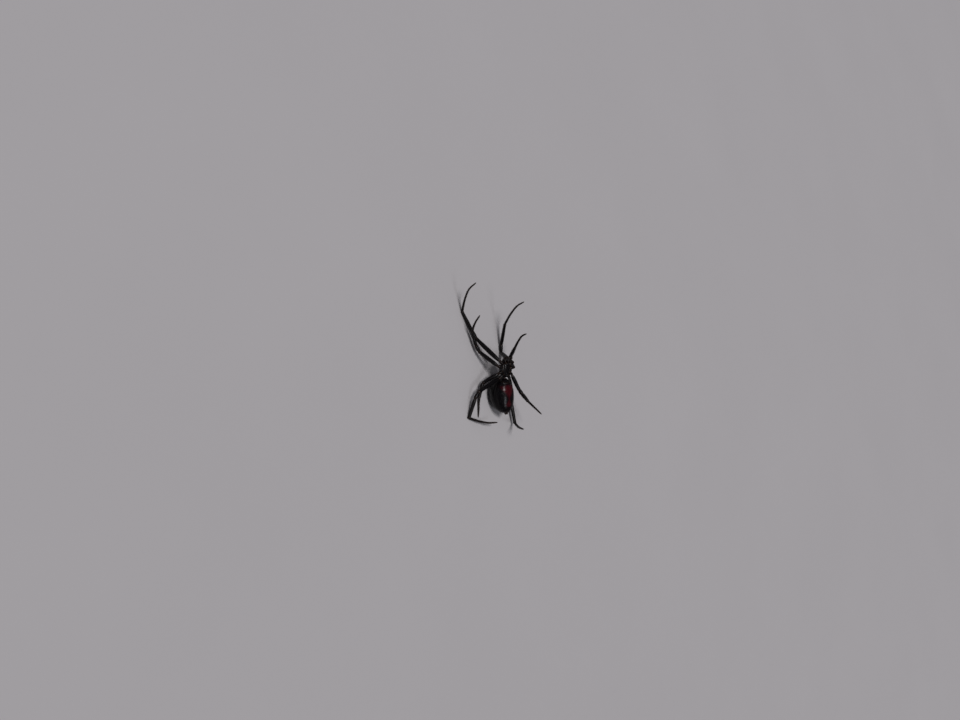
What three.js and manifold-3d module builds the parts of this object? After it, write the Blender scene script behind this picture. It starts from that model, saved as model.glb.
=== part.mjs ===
// Black widow spider, adult female, life size, as a still model lying on its back.
// Millimetres, +Z up. The spider is built in its own body frame and then laid on the floor:
//   body x: sideways, + to the spider's left
//   body y: along the body, + toward the head
//   body z: through the body, + toward the belly
// The belly and its hourglass face up, the back of the abdomen, the left front knee and the
// ends of three right legs carry it on small flats, all at z = 0.
import * as THREE from "three";
import { mergeVertices } from "three/addons/utils/BufferGeometryUtils.js";
import Module from "manifold-3d";

const wasm = await Module();
wasm.setup();

// ---------------------------------------------------------------- driving sizes
const GAP = 0.04; // thin cut between two neighbouring parts
const LIMB_SIDES = 8;

// The floor as the spider lies on it, seen from the body frame.
const FLOOR_NORMAL = new THREE.Vector3(0.28, 0.22, 1).normalize();
const FLOOR_LEVEL = -4.87; // distance of the floor from the body frame's origin along that normal

// Cephalothorax: a round thorax and a narrower, higher head, joined by a smooth maximum.
const THORAX = { middle: -0.33, halfLength: 1.57, halfWidth: 1.62, back: 0.74 };
const HEAD = { middle: 0.66, halfLength: 1.29, halfWidth: 0.97, back: 0.93 };
const STERNUM_DEPTH = 0.62; // belly side of the cephalothorax
const BODY_FRONT = 1.95;
const BODY_REAR = -1.9;

// Abdomen, a tall egg that hangs from a low stalk.
const ABDOMEN = {
  middle: new THREE.Vector3(-0.15, -5.62, -1.2),
  halfLength: 3.78,
  halfWidth: 2.58,
  back: 2.75,
  belly: 2.53,
  rearLift: 1.28, // how far the rear pole, where the spinnerets are, lies toward the belly
  overhang: 1.0, // how far its front bulges over the stalk, on the side of the back
  recess: 0.4, // and how far it falls back on the side of the belly
  swing: 7.5, // degrees about the end of the stalk, the rear toward the spider's left
  pivot: [-0.15, -2.2, 0],
};
const STALK = { radius: 0.25, from: [0, -1.6, -0.06], to: [-0.05, -3.0, -0.3] };

// Leg segments in order: femur, patella, tibia, metatarsus, tarsus.
const LENGTHS = {
  1: [6.95, 1.6, 4.8, 6.2, 2.25],
  2: [5.0, 1.4, 3.1, 3.8, 1.8],
  3: [3.8, 1.05, 2.05, 2.7, 1.4],
  4: [5.95, 1.5, 4.3, 4.75, 1.9],
};
// Radii: coxa, femur near its base, at the knee, patella, tibia start, tibia end, metatarsus, tarsus tip.
const RADII = {
  1: { coxa: 0.4, base: 0.36, femur: 0.48, knee: 0.4, patella: 0.39, tibia: 0.37, tibiaEnd: 0.31, meta: 0.26, tip: 0.25 },
  2: { coxa: 0.38, base: 0.34, femur: 0.44, knee: 0.39, patella: 0.39, tibia: 0.37, tibiaEnd: 0.31, meta: 0.26, tip: 0.25 },
  3: { coxa: 0.35, base: 0.31, femur: 0.43, knee: 0.4, patella: 0.4, tibia: 0.385, tibiaEnd: 0.32, meta: 0.26, tip: 0.25 },
  4: { coxa: 0.365, base: 0.34, femur: 0.44, knee: 0.39, patella: 0.39, tibia: 0.385, tibiaEnd: 0.34, meta: 0.265, tip: 0.25 },
};
// Where each coxa starts at the edge of the sternum and where it ends, on the left side.
// The left hind coxa is swung toward the back, to let its femur pass beside the abdomen.
const COXAE = {
  1: { root: [0.78, 0.82, 0.16], end: [1.6, 1.3, 0.1] },
  2: { root: [0.95, 0.1, 0.18], end: [2.0, 0.32, 0.08] },
  3: { root: [0.85, -0.7, 0.16], end: [1.62, -1.18, 0.0] },
  4: { root: [0.52, -1.3, 0.14], end: [1.38, -2.14, 0.03], left: [1.715, -1.99, -0.78] },
};
// The pose: for each segment the azimuth (0 straight out to the side, 90 toward the head)
// and the elevation (positive toward the belly), in degrees.
const POSE = {
  right: {
    1: [[49.8, -33.8], [58.0, -14.9], [58.7, -8.7], [73.4, 40.5], [98.8, 57.3]],
    2: [[41.9, -35.4], [58.8, -13.5], [64.5, 3.4], [60.5, 49.5], [83.4, 49.9]],
    3: [[-39.8, -26.6], [-68.9, -7.7], [-80.9, 2.1], [-87.0, 7.6], [-87.0, 7.8]],
    4: [[-30.6, 1.4], [-61.5, -3.8], [-76.0, -4.6], [-170.0, 6.2], [175.4, 14.4]],
  },
  left: {
    1: [[51.6, -69.0], [93.0, -0.2], [98.9, 21.5], [99.0, 50.4], [88.1, 69.2]],
    2: [[28.6, -62.3], [99.7, 28.0], [119.0, 51.8], [99.9, 46.9], [110.6, 72.5]],
    3: [[-54.6, 0.2], [-59.2, 23.8], [-58.4, 33.0], [-58.3, 45.3], [-60.0, 47.4]],
    4: [[-50.1, -30.1], [-102.7, 10.6], [-79.2, 9.1], [-154.9, 67.4], [182.6, 69.2]],
  },
};
// Palps: the same angles for femur, patella, tibia and tarsus.
const PALP = {
  root: [0.5, 1.1, 0.65],
  radius: 0.25,
  segments: [[0.76, 69, -17.5], [0.31, 78, 10], [0.44, 128, 60], [0.64, 200, 46]],
};
const CHELICERA = { x: 0.29, y: 1.5, top: 0.2, bottom: 1.22, radius: 0.27 };
// Eyes in two rows: place along the body, angle from the top of the head, radius.
const EYES = {
  anterior_median: [1.9, 18, 0.09],
  anterior_lateral: [1.84, 60, 0.085],
  posterior_median: [1.7, 15, 0.088],
  posterior_lateral: [1.68, 48, 0.085],
};

// ---------------------------------------------------------------- solids
// A closed three.js geometry as a solid that can be cut and joined.
function solid(geometry) {
  const bare = geometry.index ? geometry.toNonIndexed() : geometry.clone();
  bare.deleteAttribute("normal");
  bare.deleteAttribute("uv");
  const merged = mergeVertices(bare, 1e-4);
  const corners = [];
  const index = merged.index.array;
  for (let i = 0; i < index.length; i += 3) {
    const [a, b, c] = [index[i], index[i + 1], index[i + 2]];
    if (a !== b && b !== c && c !== a) corners.push(a, b, c);
  }
  const make = (triVerts) =>
    new wasm.Manifold(
      new wasm.Mesh({
        numProp: 3,
        vertProperties: merged.attributes.position.array,
        triVerts: new Uint32Array(triVerts),
      }),
    );
  let made = make(corners);
  if (made.volume() < 0) {
    for (let i = 0; i < corners.length; i += 3)
      [corners[i + 1], corners[i + 2]] = [corners[i + 2], corners[i + 1]];
    made = make(corners);
  }
  return made;
}

// The largest body of a solid, so that a cut never leaves a chip behind.
function largest(made) {
  const pieces = made.decompose();
  return pieces.reduce((a, b) => (a.volume() > b.volume() ? a : b));
}

function geometryOf(made) {
  const mesh = made.getMesh();
  const geometry = new THREE.BufferGeometry();
  const positions = new Float32Array(mesh.numVert * 3);
  for (let i = 0; i < mesh.numVert; i++)
    for (let k = 0; k < 3; k++)
      positions[i * 3 + k] = mesh.vertProperties[i * mesh.numProp + k];
  geometry.setAttribute("position", new THREE.BufferAttribute(positions, 3));
  geometry.setIndex(new THREE.BufferAttribute(new Uint32Array(mesh.triVerts), 1));
  const flat = geometry.toNonIndexed();
  flat.computeVertexNormals();
  return flat;
}

// A big box whose one face lies through `point`, with everything on the `normal` side in it.
function halfSpace(point, normal) {
  const box = new THREE.BoxGeometry(80, 80, 80);
  box.translate(0, 0, 40);
  box.applyQuaternion(
    new THREE.Quaternion().setFromUnitVectors(new THREE.Vector3(0, 0, 1), normal),
  );
  box.translate(point.x, point.y, point.z);
  return solid(box);
}
const FLOOR = halfSpace(
  FLOOR_NORMAL.clone().multiplyScalar(FLOOR_LEVEL),
  FLOOR_NORMAL.clone().negate(),
);

// ---------------------------------------------------------------- limbs
const direction = ([azimuth, elevation], side) => {
  const az = THREE.MathUtils.degToRad(azimuth);
  const el = THREE.MathUtils.degToRad(elevation);
  return new THREE.Vector3(
    side * Math.cos(az) * Math.cos(el),
    Math.sin(az) * Math.cos(el),
    Math.sin(el),
  );
};
const vec = ([x, y, z], side = 1) => new THREE.Vector3(x * side, y, z);

// A lathe-turned rod with round ends, bent along a curve. `radii` lists [place 0..1, radius].
function limb(curve, radii, sides = LIMB_SIDES, reference = new THREE.Vector3(0.31, 0.17, 0.93)) {
  const length = curve.getLength();
  const first = radii[0][1];
  const last = radii[radii.length - 1][1];
  const profile = [new THREE.Vector2(0, -first)];
  profile.push(new THREE.Vector2(first * 0.72, -first * 0.69));
  for (const [place, radius] of radii) profile.push(new THREE.Vector2(radius, place * length));
  profile.push(new THREE.Vector2(last * 0.72, length + last * 0.69));
  profile.push(new THREE.Vector2(0, length + last));
  const rod = new THREE.LatheGeometry(profile, sides);
  const position = rod.attributes.position;
  const point = new THREE.Vector3();
  const tangent = new THREE.Vector3();
  for (let i = 0; i < position.count; i++) {
    const along = position.getY(i);
    const place = THREE.MathUtils.clamp(along / length, 0, 1);
    curve.getPointAt(place, point);
    curve.getTangentAt(place, tangent);
    if (along < 0) point.addScaledVector(tangent, along);
    if (along > length) point.addScaledVector(tangent, along - length);
    const across = reference.clone().cross(tangent).normalize();
    const other = tangent.clone().cross(across);
    point.addScaledVector(across, position.getX(i));
    point.addScaledVector(other, position.getZ(i));
    position.setXYZ(i, point.x, point.y, point.z);
  }
  return solid(rod);
}

// Parts two limb segments at their joint, across the middle of the bend.
function partAt(joint, before, after, segmentBefore, segmentAfter) {
  const middle = before.clone().add(after).normalize();
  const shift = middle.clone().multiplyScalar(GAP / 2);
  return [
    segmentBefore.subtract(halfSpace(joint.clone().sub(shift), middle)),
    segmentAfter.subtract(halfSpace(joint.clone().add(shift), middle.clone().negate())),
  ];
}

// ---------------------------------------------------------------- cephalothorax
const bulge = (t, power, root) => Math.pow(Math.max(0, 1 - Math.pow(Math.abs(t), power)), root);
const smoothMax = (a, b) => Math.pow(a ** 6 + b ** 6, 1 / 6);
const thoraxAt = (y) => (y - THORAX.middle) / THORAX.halfLength;
const headAt = (y) => (y - HEAD.middle) / HEAD.halfLength;

// Half width, height of the back and depth of the belly side at a place along the body.
function bodySection(y) {
  const width = smoothMax(
    THORAX.halfWidth * bulge(thoraxAt(y), 2.1, 0.5),
    y > -0.6 ? HEAD.halfWidth * bulge(headAt(y), 4, 0.27) : 0,
  );
  const back = smoothMax(
    THORAX.back * bulge(thoraxAt(y), 2.6, 0.6),
    y > -0.6 ? HEAD.back * bulge(headAt(y), 4, 0.34) : 0,
  );
  const belly = STERNUM_DEPTH * bulge((y - 0.02) / 1.93, 4, 0.42);
  return { width, back, belly };
}
// A point of the cephalothorax's surface, `angle` measured from the middle of the back.
function bodyPoint(y, angle, grow = 0) {
  const { width, back, belly } = bodySection(y);
  const c = Math.cos(angle);
  const s = Math.sin(angle);
  // Below its rim the body narrows quickly to the sternum, which leaves room for the coxae.
  const reach = c > 0 ? 1 : 1 - 0.42 * (1 - Math.pow(1 + c, 3));
  return new THREE.Vector3(
    (width + grow) * reach * Math.sign(s) * Math.pow(Math.abs(s), 0.92),
    y,
    c > 0 ? -(back + grow) * c : -(belly + grow) * c,
  );
}
function cephalothorax(grow = 0) {
  const shape = new THREE.SphereGeometry(1, 26, 20);
  const position = shape.attributes.position;
  const middle = (BODY_FRONT + BODY_REAR) / 2;
  const half = (BODY_FRONT - BODY_REAR) / 2;
  for (let i = 0; i < position.count; i++) {
    const y = middle + half * position.getY(i) * 0.9995;
    const pole = Math.abs(position.getY(i)) > 0.9999;
    const angle = Math.atan2(position.getX(i), -position.getZ(i));
    const p = pole ? new THREE.Vector3(0, y, 0) : bodyPoint(y, angle, grow);
    if (grow) p.y = middle + (p.y - middle) * (1 + grow / half);
    position.setXYZ(i, p.x, p.y, p.z);
  }
  return solid(shape);
}

// ---------------------------------------------------------------- abdomen
function abdomen(grow = 0) {
  const shape = new THREE.SphereGeometry(1, 30, 20);
  const position = shape.attributes.position;
  for (let i = 0; i < position.count; i++) {
    const along = position.getY(i);
    const ring = Math.hypot(position.getX(i), position.getZ(i));
    const fuller = (power) => (ring > 0 ? Math.pow(ring, power) / ring : 0);
    const x = position.getX(i) * fuller(along > 0 ? 1.1 : 0.97);
    const z = position.getZ(i) * fuller(along > 0 ? 0.72 : 0.97);
    const toFront = Math.max(0, along) ** 2;
    const reach = Math.hypot(z, 0.173);
    const slant = ABDOMEN.overhang * toFront * 0.5 * (reach - z) - ABDOMEN.recess * toFront ** 2 * 0.5 * (reach + z);
    const lift = along < 0 ? ABDOMEN.rearLift * Math.pow(-along, 2.2) : 0.25 * along * along;
    position.setXYZ(
      i,
      ABDOMEN.middle.x + x * (ABDOMEN.halfWidth + grow),
      ABDOMEN.middle.y + along * (ABDOMEN.halfLength + grow) + slant,
      ABDOMEN.middle.z + z * ((z > 0 ? ABDOMEN.belly - 0.35 * lift : ABDOMEN.back) + grow) + lift,
    );
  }
  return swung(solid(shape));
}
function swung(made) {
  const [x, y, z] = ABDOMEN.pivot;
  return made.translate([-x, -y, -z]).rotate([0, 0, ABDOMEN.swing]).translate([x, y, z]);
}

// Six short cones round the silk outlet, on a low mound, joined to one piece.
function spinnerets() {
  const outlet = new THREE.Vector3(
    ABDOMEN.middle.x,
    ABDOMEN.middle.y - ABDOMEN.halfLength + 0.1,
    ABDOMEN.middle.z + ABDOMEN.rearLift + 0.1,
  );
  const heading = new THREE.Vector3(0, -0.87, 0.49).normalize();
  let made = limb(
    new THREE.LineCurve3(outlet.clone().addScaledVector(heading, -0.2), outlet.clone().addScaledVector(heading, 0.04)),
    [[0, 0.4], [1, 0.3]],
    10,
  );
  const cones = [
    [0.17, 0.16, 0.13, 0.34],
    [0.19, -0.16, 0.12, 0.3],
  ];
  for (const side of [-1, 1])
    for (const [x, z, radius, length] of cones) {
      const from = outlet.clone().add(new THREE.Vector3(side * x, 0, z));
      const to = from.clone().addScaledVector(heading, length).add(new THREE.Vector3(-side * 0.03, 0, -z * 0.2));
      made = made.add(limb(new THREE.LineCurve3(from, to), [[0, radius], [1, radius * 0.6]], 6));
    }
  return swung(made);
}

// ---------------------------------------------------------------- the whole spider
const spider = new THREE.Group();
const cuticle = new THREE.MeshStandardMaterial({ color: 0x0b0a0c, roughness: 0.22, metalness: 0 });
const legCuticle = new THREE.MeshStandardMaterial({ color: 0x0e0b0d, roughness: 0.28, metalness: 0 });
const glassy = new THREE.MeshStandardMaterial({ color: 0x050506, roughness: 0.05, metalness: 0 });

function addPart(name, made, material) {
  const mesh = new THREE.Mesh(geometryOf(largest(made)), material);
  mesh.name = name;
  spider.add(mesh);
}

const trunk = cephalothorax();
const trunkClear = cephalothorax(GAP);
const abdomenWhole = abdomen();
const abdomenClear = abdomen(GAP);

addPart("cephalothorax", trunk, cuticle);
addPart("abdomen", abdomenWhole.subtract(FLOOR), cuticle);
addPart(
  "pedicel",
  limb(new THREE.LineCurve3(vec(STALK.from), vec(STALK.to)), [[0, STALK.radius], [1, STALK.radius]], 10)
    .subtract(trunkClear)
    .subtract(abdomenClear),
  cuticle,
);
addPart("spinnerets", spinnerets().subtract(abdomenClear), cuticle);

function chelicera(side, grow = 0) {
  const { x, y, top, bottom, radius } = CHELICERA;
  const bend = new THREE.CatmullRomCurve3([
    new THREE.Vector3(side * x, y - 0.16, top),
    new THREE.Vector3(side * (x + 0.015), y + 0.03, (top + bottom) / 2),
    new THREE.Vector3(side * (x - 0.01), y, bottom),
  ]);
  return limb(bend, [[0, radius * 0.9 + grow], [0.5, radius + grow], [1, radius * 0.78 + grow]], 10);
}
const bothChelicerae = chelicera(1, GAP).add(chelicera(-1, GAP));
for (const [sideName, side] of [["left", 1], ["right", -1]])
  addPart(`chelicera_${sideName}`, chelicera(side).subtract(trunkClear), cuticle);

function palp(side, grow = 0) {
  const joints = [vec(PALP.root, side)];
  for (const [length, azimuth, elevation] of PALP.segments)
    joints.push(
      joints[joints.length - 1].clone().addScaledVector(direction([azimuth, elevation], side), length),
    );
  const line = new THREE.CatmullRomCurve3(joints);
  const r = PALP.radius + grow;
  return limb(
    line,
    [[0, r], [0.25, r], [0.45, r], [0.6, r], [0.8, r], [1, r * 0.88]],
    8,
    new THREE.Vector3(1, 0.12, 0.2),
  );
}
const bothPalps = palp(1, GAP).add(palp(-1, GAP));

// Labium and the two lobes beside it, in front of the sternum.
{
  let lobes = null;
  for (const [x, y, z, rx, ry, rz] of [
    [0, 0.8, 0.56, 0.26, 0.26, 0.22],
    [0.29, 0.95, 0.6, 0.22, 0.34, 0.24],
    [-0.29, 0.95, 0.6, 0.22, 0.34, 0.24],
  ]) {
    const lobe = new THREE.SphereGeometry(1, 8, 6);
    lobe.scale(rx, ry, rz);
    lobe.translate(x, y, z);
    lobes = lobes ? lobes.add(solid(lobe)) : solid(lobe);
  }
  addPart("mouthparts", lobes.subtract(trunkClear).subtract(bothChelicerae).subtract(bothPalps), cuticle);
}

for (const [sideName, side] of [["left", 1], ["right", -1]]) {
  addPart(`palp_${sideName}`, palp(side).subtract(trunkClear).subtract(bothChelicerae), legCuticle);
  for (const [kind, [y, angle, radius]] of Object.entries(EYES)) {
    const centre = bodyPoint(y, side * THREE.MathUtils.degToRad(angle), -0.015);
    const ball = new THREE.SphereGeometry(radius, 9, 7);
    ball.translate(centre.x, centre.y, centre.z);
    addPart(`eye_${kind}_${sideName}`, solid(ball).subtract(cephalothorax(0.012)), glassy);
  }
}

// Eight legs, each a coxa, femur, patella, tibia and a curved end of metatarsus and tarsus.
for (const [sideName, side] of [["left", 1], ["right", -1]])
  for (const number of [1, 2, 3, 4]) {
    const lengths = LENGTHS[number];
    const r = RADII[number];
    const root = vec(COXAE[number].root, side);
    const headings = POSE[sideName][number].map((pair) => direction(pair, side));
    const joints = [vec(COXAE[number][sideName] ?? COXAE[number].end, side)];
    headings.forEach((heading, i) => joints.push(joints[i].clone().addScaledVector(heading, lengths[i])));
    const [hip, knee, patellaEnd, ankle, lastJoint, tip] = joints;
    const coxaHeading = hip.clone().sub(root).normalize();
    const legPlane = headings[0].clone().cross(headings[2]).normalize();

    let coxa = limb(new THREE.LineCurve3(root, hip), [[0, r.coxa * 0.72], [0.55, r.coxa], [1, r.base]], 8, legPlane);
    // The femur bows a little toward the back, as its upper edge does.
    const outward = headings[0].clone().cross(legPlane).normalize();
    const femurLine = new THREE.QuadraticBezierCurve3(
      hip,
      hip.clone().lerp(knee, 0.5).addScaledVector(outward, 0.02 * lengths[0]),
      knee,
    );
    let femur = limb(femurLine, [[0, r.base], [0.12, r.femur * 0.95], [0.4, r.femur], [0.85, r.knee * 0.97], [1, r.knee]], 8, legPlane);
    let patella = limb(new THREE.LineCurve3(knee, patellaEnd), [[0, r.knee], [0.5, r.patella], [1, r.tibia]], 8, legPlane);
    let tibia = limb(new THREE.LineCurve3(patellaEnd, ankle), [[0, r.tibia], [0.25, r.tibia], [0.8, r.tibiaEnd], [1, r.tibiaEnd]], 8, legPlane);
    // The end of the leg bends in one smooth curve, metatarsus and tarsus together.
    const sag = headings[4].clone().addScaledVector(headings[3], -headings[4].dot(headings[3])).normalize();
    const endLine = new THREE.CatmullRomCurve3([
      ankle,
      ankle.clone().lerp(lastJoint, 0.5).addScaledVector(sag, -0.035 * lengths[3]),
      lastJoint,
      tip,
    ]);
    let end = limb(endLine, [[0, r.tibiaEnd], [0.1, r.meta], [0.35, r.meta], [0.6, r.tip], [0.8, r.tip], [1, r.tip * 0.9]], 8, legPlane);

    [coxa, femur] = partAt(hip, coxaHeading, headings[0], coxa, femur);
    [femur, patella] = partAt(knee, headings[0], headings[1], femur, patella);
    [patella, tibia] = partAt(patellaEnd, headings[1], headings[2], patella, tibia);
    [tibia, end] = partAt(ankle, headings[2], headings[3], tibia, end);

    const leg = `leg_${number}_${sideName}`;
    addPart(`${leg}_coxa`, coxa.subtract(trunkClear), legCuticle);
    addPart(`${leg}_femur`, femur.subtract(trunkClear).subtract(abdomenClear).subtract(FLOOR), legCuticle);
    addPart(`${leg}_patella`, patella.subtract(FLOOR), legCuticle);
    addPart(`${leg}_tibia`, tibia.subtract(FLOOR), legCuticle);
    addPart(`${leg}_metatarsus_tarsus`, end.subtract(FLOOR), legCuticle);
  }

// ---------------------------------------------------------------- laid on the floor
// World z is the floor's normal, world y the body's axis as seen from above.
const worldZ = FLOOR_NORMAL.clone();
const worldY = new THREE.Vector3(0, 1, 0).addScaledVector(worldZ, -worldZ.y).normalize();
const worldX = worldY.clone().cross(worldZ);
const turn = new THREE.Matrix4().makeBasis(worldX, worldY, worldZ).transpose();
spider.quaternion.setFromRotationMatrix(turn);
spider.position.z = -FLOOR_LEVEL;
spider.updateMatrixWorld(true);

// The origin sits on the floor under the middle of the whole outline.
const outline = new THREE.Box3();
const corner = new THREE.Vector3();
spider.traverse((object) => {
  if (!object.isMesh) return;
  const position = object.geometry.attributes.position;
  for (let i = 0; i < position.count; i++)
    outline.expandByPoint(corner.fromBufferAttribute(position, i).applyMatrix4(object.matrixWorld));
});
spider.position.x = -(outline.min.x + outline.max.x) / 2;
spider.position.y = -(outline.min.y + outline.max.y) / 2;

const part = new THREE.Group();
part.add(spider);
export default part;
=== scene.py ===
# Black widow spider, adult female, life size, lying on its back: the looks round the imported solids.
# Shapes are worked out in millimetres in the spider's own body frame and laid in the row frame at the end:
#   body x: sideways, + to the spider's left     body y: + toward the head     body z: + toward the belly
import math

import bpy
import numpy as np
from mathutils import Matrix, Vector


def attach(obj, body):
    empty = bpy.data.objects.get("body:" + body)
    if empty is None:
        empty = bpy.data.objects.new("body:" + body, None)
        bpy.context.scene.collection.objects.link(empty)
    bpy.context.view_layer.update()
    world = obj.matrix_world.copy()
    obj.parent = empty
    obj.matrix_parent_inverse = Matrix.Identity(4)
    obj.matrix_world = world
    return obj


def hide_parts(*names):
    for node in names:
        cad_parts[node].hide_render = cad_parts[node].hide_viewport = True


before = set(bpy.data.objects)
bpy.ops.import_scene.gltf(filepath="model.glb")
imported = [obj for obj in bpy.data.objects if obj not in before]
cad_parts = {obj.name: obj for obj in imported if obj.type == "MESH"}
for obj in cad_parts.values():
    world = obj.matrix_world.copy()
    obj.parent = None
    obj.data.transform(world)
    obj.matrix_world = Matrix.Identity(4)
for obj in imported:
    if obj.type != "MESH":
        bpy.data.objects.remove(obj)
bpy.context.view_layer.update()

# ---------------------------------------------------------------- the body frame in the row frame
FLOOR_NORMAL = np.array([0.28, 0.22, 1.0])
FLOOR_NORMAL /= np.linalg.norm(FLOOR_NORMAL)
ROW_Y = np.array([0.0, 1.0, 0.0]) - FLOOR_NORMAL * FLOOR_NORMAL[1]
ROW_Y /= np.linalg.norm(ROW_Y)
TURN = np.array([np.cross(ROW_Y, FLOOR_NORMAL), ROW_Y, FLOOR_NORMAL])
SHIFT = np.array([1.758348, -1.912838, 4.87])
MM = 0.001


def to_row(points):
    """Body frame in millimetres to row frame in metres."""
    return (np.asarray(points, float) @ TURN.T + SHIFT) * MM


def turned(vectors):
    return np.asarray(vectors, float) @ TURN.T


def unit(v):
    v = np.asarray(v, float)
    return v / np.maximum(np.linalg.norm(v, axis=-1, keepdims=True), 1e-12)


def gauss(d, width):
    return np.exp(-((d / width) ** 2))


def step(x, low, high):
    t = np.clip((x - low) / (high - low), 0, 1)
    return t * t * (3 - 2 * t)


def smooth_curve(x, places, values):
    """A monotone cubic through the given values, for radii along a limb."""
    xs, ys = np.asarray(places, float), np.asarray(values, float)
    h = np.diff(xs)
    d = np.diff(ys) / h
    m = np.zeros_like(ys)
    m[0], m[-1] = d[0], d[-1]
    for i in range(1, len(ys) - 1):
        m[i] = 0 if d[i - 1] * d[i] <= 0 else 2 * d[i - 1] * d[i] / (d[i - 1] + d[i])
    x = np.clip(x, xs[0], xs[-1])
    k = np.clip(np.searchsorted(xs, x, side="right") - 1, 0, len(h) - 1)
    t = (x - xs[k]) / h[k]
    return (
        (1 + 2 * t) * (1 - t) ** 2 * ys[k]
        + t * (1 - t) ** 2 * h[k] * m[k]
        + t * t * (3 - 2 * t) * ys[k + 1]
        + t * t * (t - 1) * h[k] * m[k + 1]
    )


def value_noise(p, seed, scale):
    """Smooth noise in -1..1 at points p, from sums of sines with fixed phases."""
    rng = np.random.default_rng(seed)
    out = np.zeros(p.shape[:-1])
    for _ in range(9):
        k = rng.normal(size=3)
        k = k / np.linalg.norm(k) * scale * rng.uniform(0.6, 1.5)
        out += np.sin(p @ k + rng.uniform(0, 6.28))
    return out / 4.5


# ---------------------------------------------------------------- closed surfaces from grids
class Surfaces:
    """Many closed surfaces in one mesh. Each is a grid of rings, closed at both ends by a pole."""

    def __init__(self):
        self.points, self.faces, self.corner_uv, self.slots = [], [], [], []
        self.fields = {"mark": [], "brown": [], "soft": []}
        self.count = 0
        self.grids = {}

    def add(self, name, rings, poles, rect, slot, mark=None, brown=None, soft=None):
        """rings: (n, m, 3) in body millimetres. rect: this surface's place on the skin's unwrap, u along columns."""
        n, m, _ = rings.shape
        points = np.concatenate([rings.reshape(-1, 3), [poles[0], poles[1]]])
        i, j = np.meshgrid(np.arange(n - 1), np.arange(m), indexing="ij")
        k = (j + 1) % m
        quads = np.stack([i * m + j, i * m + k, (i + 1) * m + k, (i + 1) * m + j], -1).reshape(-1, 4)
        j0 = np.arange(m)
        first = np.stack([np.full(m, n * m), (j0 + 1) % m, j0], -1)
        last = np.stack([np.full(m, n * m + 1), (n - 1) * m + j0, (n - 1) * m + (j0 + 1) % m], -1)
        u0, v0, u1, v1 = rect
        du, dv = u1 - u0, v1 - v0

        def place(col, line):
            return np.stack([u0 + du * col / m, v0 + dv * (line + 1) / (n + 1)], -1)

        quad_uv = np.stack([place(j, i), place(j + 1, i), place(j + 1, i + 1), place(j, i + 1)], 2).reshape(-1, 4, 2)
        first_uv = np.stack([place(j0 + 0.5, -1 + 0 * j0), place(j0 + 1, 0 * j0), place(j0, 0 * j0)], 1)
        last_uv = np.stack([place(j0 + 0.5, n + 0 * j0), place(j0, n - 1 + 0 * j0), place(j0 + 1, n - 1 + 0 * j0)], 1)
        a, b, c, d = (points[quads[:, q]] for q in range(4))
        volume = np.einsum("ij,ij->i", a, np.cross(b, c)).sum() + np.einsum("ij,ij->i", a, np.cross(c, d)).sum()
        for f in (first, last):
            volume += np.einsum("ij,ij->i", points[f[:, 0]], np.cross(points[f[:, 1]], points[f[:, 2]])).sum()
        # Taken from the middle of the points, so that the sign says which way the faces look.
        centre = rings.reshape(-1, 3).mean(0)
        p = points - centre
        a, b, c, d = (p[quads[:, q]] for q in range(4))
        volume = np.einsum("ij,ij->i", a, np.cross(b, c)).sum() + np.einsum("ij,ij->i", a, np.cross(c, d)).sum()
        inward = volume < 0
        for f, uv in ((quads, quad_uv), (first, first_uv), (last, last_uv)):
            if inward:
                f, uv = f[:, ::-1], uv[:, ::-1]
            self.faces.append((f + self.count, len(f)))
            self.corner_uv.append(uv.reshape(-1, 2))
            self.slots.append(np.full(len(f), slot))
        self.points.append(points)
        for key, field in (("mark", mark), ("brown", brown), ("soft", soft)):
            default = -9.0 if key == "mark" else 0.0
            flat = np.full(n * m, default) if field is None else np.broadcast_to(field, (n, m)).reshape(-1)
            ends = [flat[:m].mean(), flat[-m:].mean()]
            self.fields[key].append(np.concatenate([flat, ends]))
        self.count += len(points)
        along = np.gradient(rings, axis=0)
        across = (np.roll(rings, -1, 1) - np.roll(rings, 1, 1)) / 2
        normal = unit(np.cross(across, along))
        if np.einsum("ijk,ijk->ij", normal, rings - rings.mean(1, keepdims=True)).mean() < 0:
            normal = -normal
        self.grids[name] = dict(
            rings=rings,
            normal=normal,
            along=unit(along),
            rect=rect,
            mark=np.full((n, m), -9.0) if mark is None else np.broadcast_to(mark, (n, m)),
        )

    def build(self, name, materials):
        points = to_row(np.concatenate(self.points))
        points[:, 2] = above_floor(points[:, 2])
        mesh = bpy.data.meshes.new(name)
        sizes = np.concatenate([np.full(n, f.shape[1]) for f, n in self.faces])
        corners = np.concatenate([f.reshape(-1) for f, _ in self.faces])
        mesh.vertices.add(len(points))
        mesh.vertices.foreach_set("co", points.astype(np.float32).reshape(-1))
        mesh.loops.add(len(corners))
        mesh.loops.foreach_set("vertex_index", corners.astype(np.int32))
        mesh.polygons.add(len(sizes))
        mesh.polygons.foreach_set("loop_start", (np.cumsum(sizes) - sizes).astype(np.int32))
        mesh.polygons.foreach_set("material_index", np.concatenate(self.slots).astype(np.int32))
        uv = mesh.uv_layers.new(name="OFBake")
        uv.data.foreach_set("uv", np.concatenate(self.corner_uv).astype(np.float32).reshape(-1))
        for key, parts in self.fields.items():
            layer = mesh.attributes.new(key, "FLOAT", "POINT")
            layer.data.foreach_set("value", np.concatenate(parts).astype(np.float32))
        mesh.update(calc_edges=True)
        mesh.validate()
        mesh.shade_smooth()
        for material in materials:
            mesh.materials.append(material)
        made = bpy.data.objects.new(name, mesh)
        bpy.context.scene.collection.objects.link(made)
        return made


def above_floor(z):
    """Flattens softly what would reach below the floor, as a body does under its own weight."""
    soft = 0.016 * MM
    return np.where(z < 0.6 * MM, 0.5 * (z + np.sqrt(z * z + soft * soft)), z)


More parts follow.
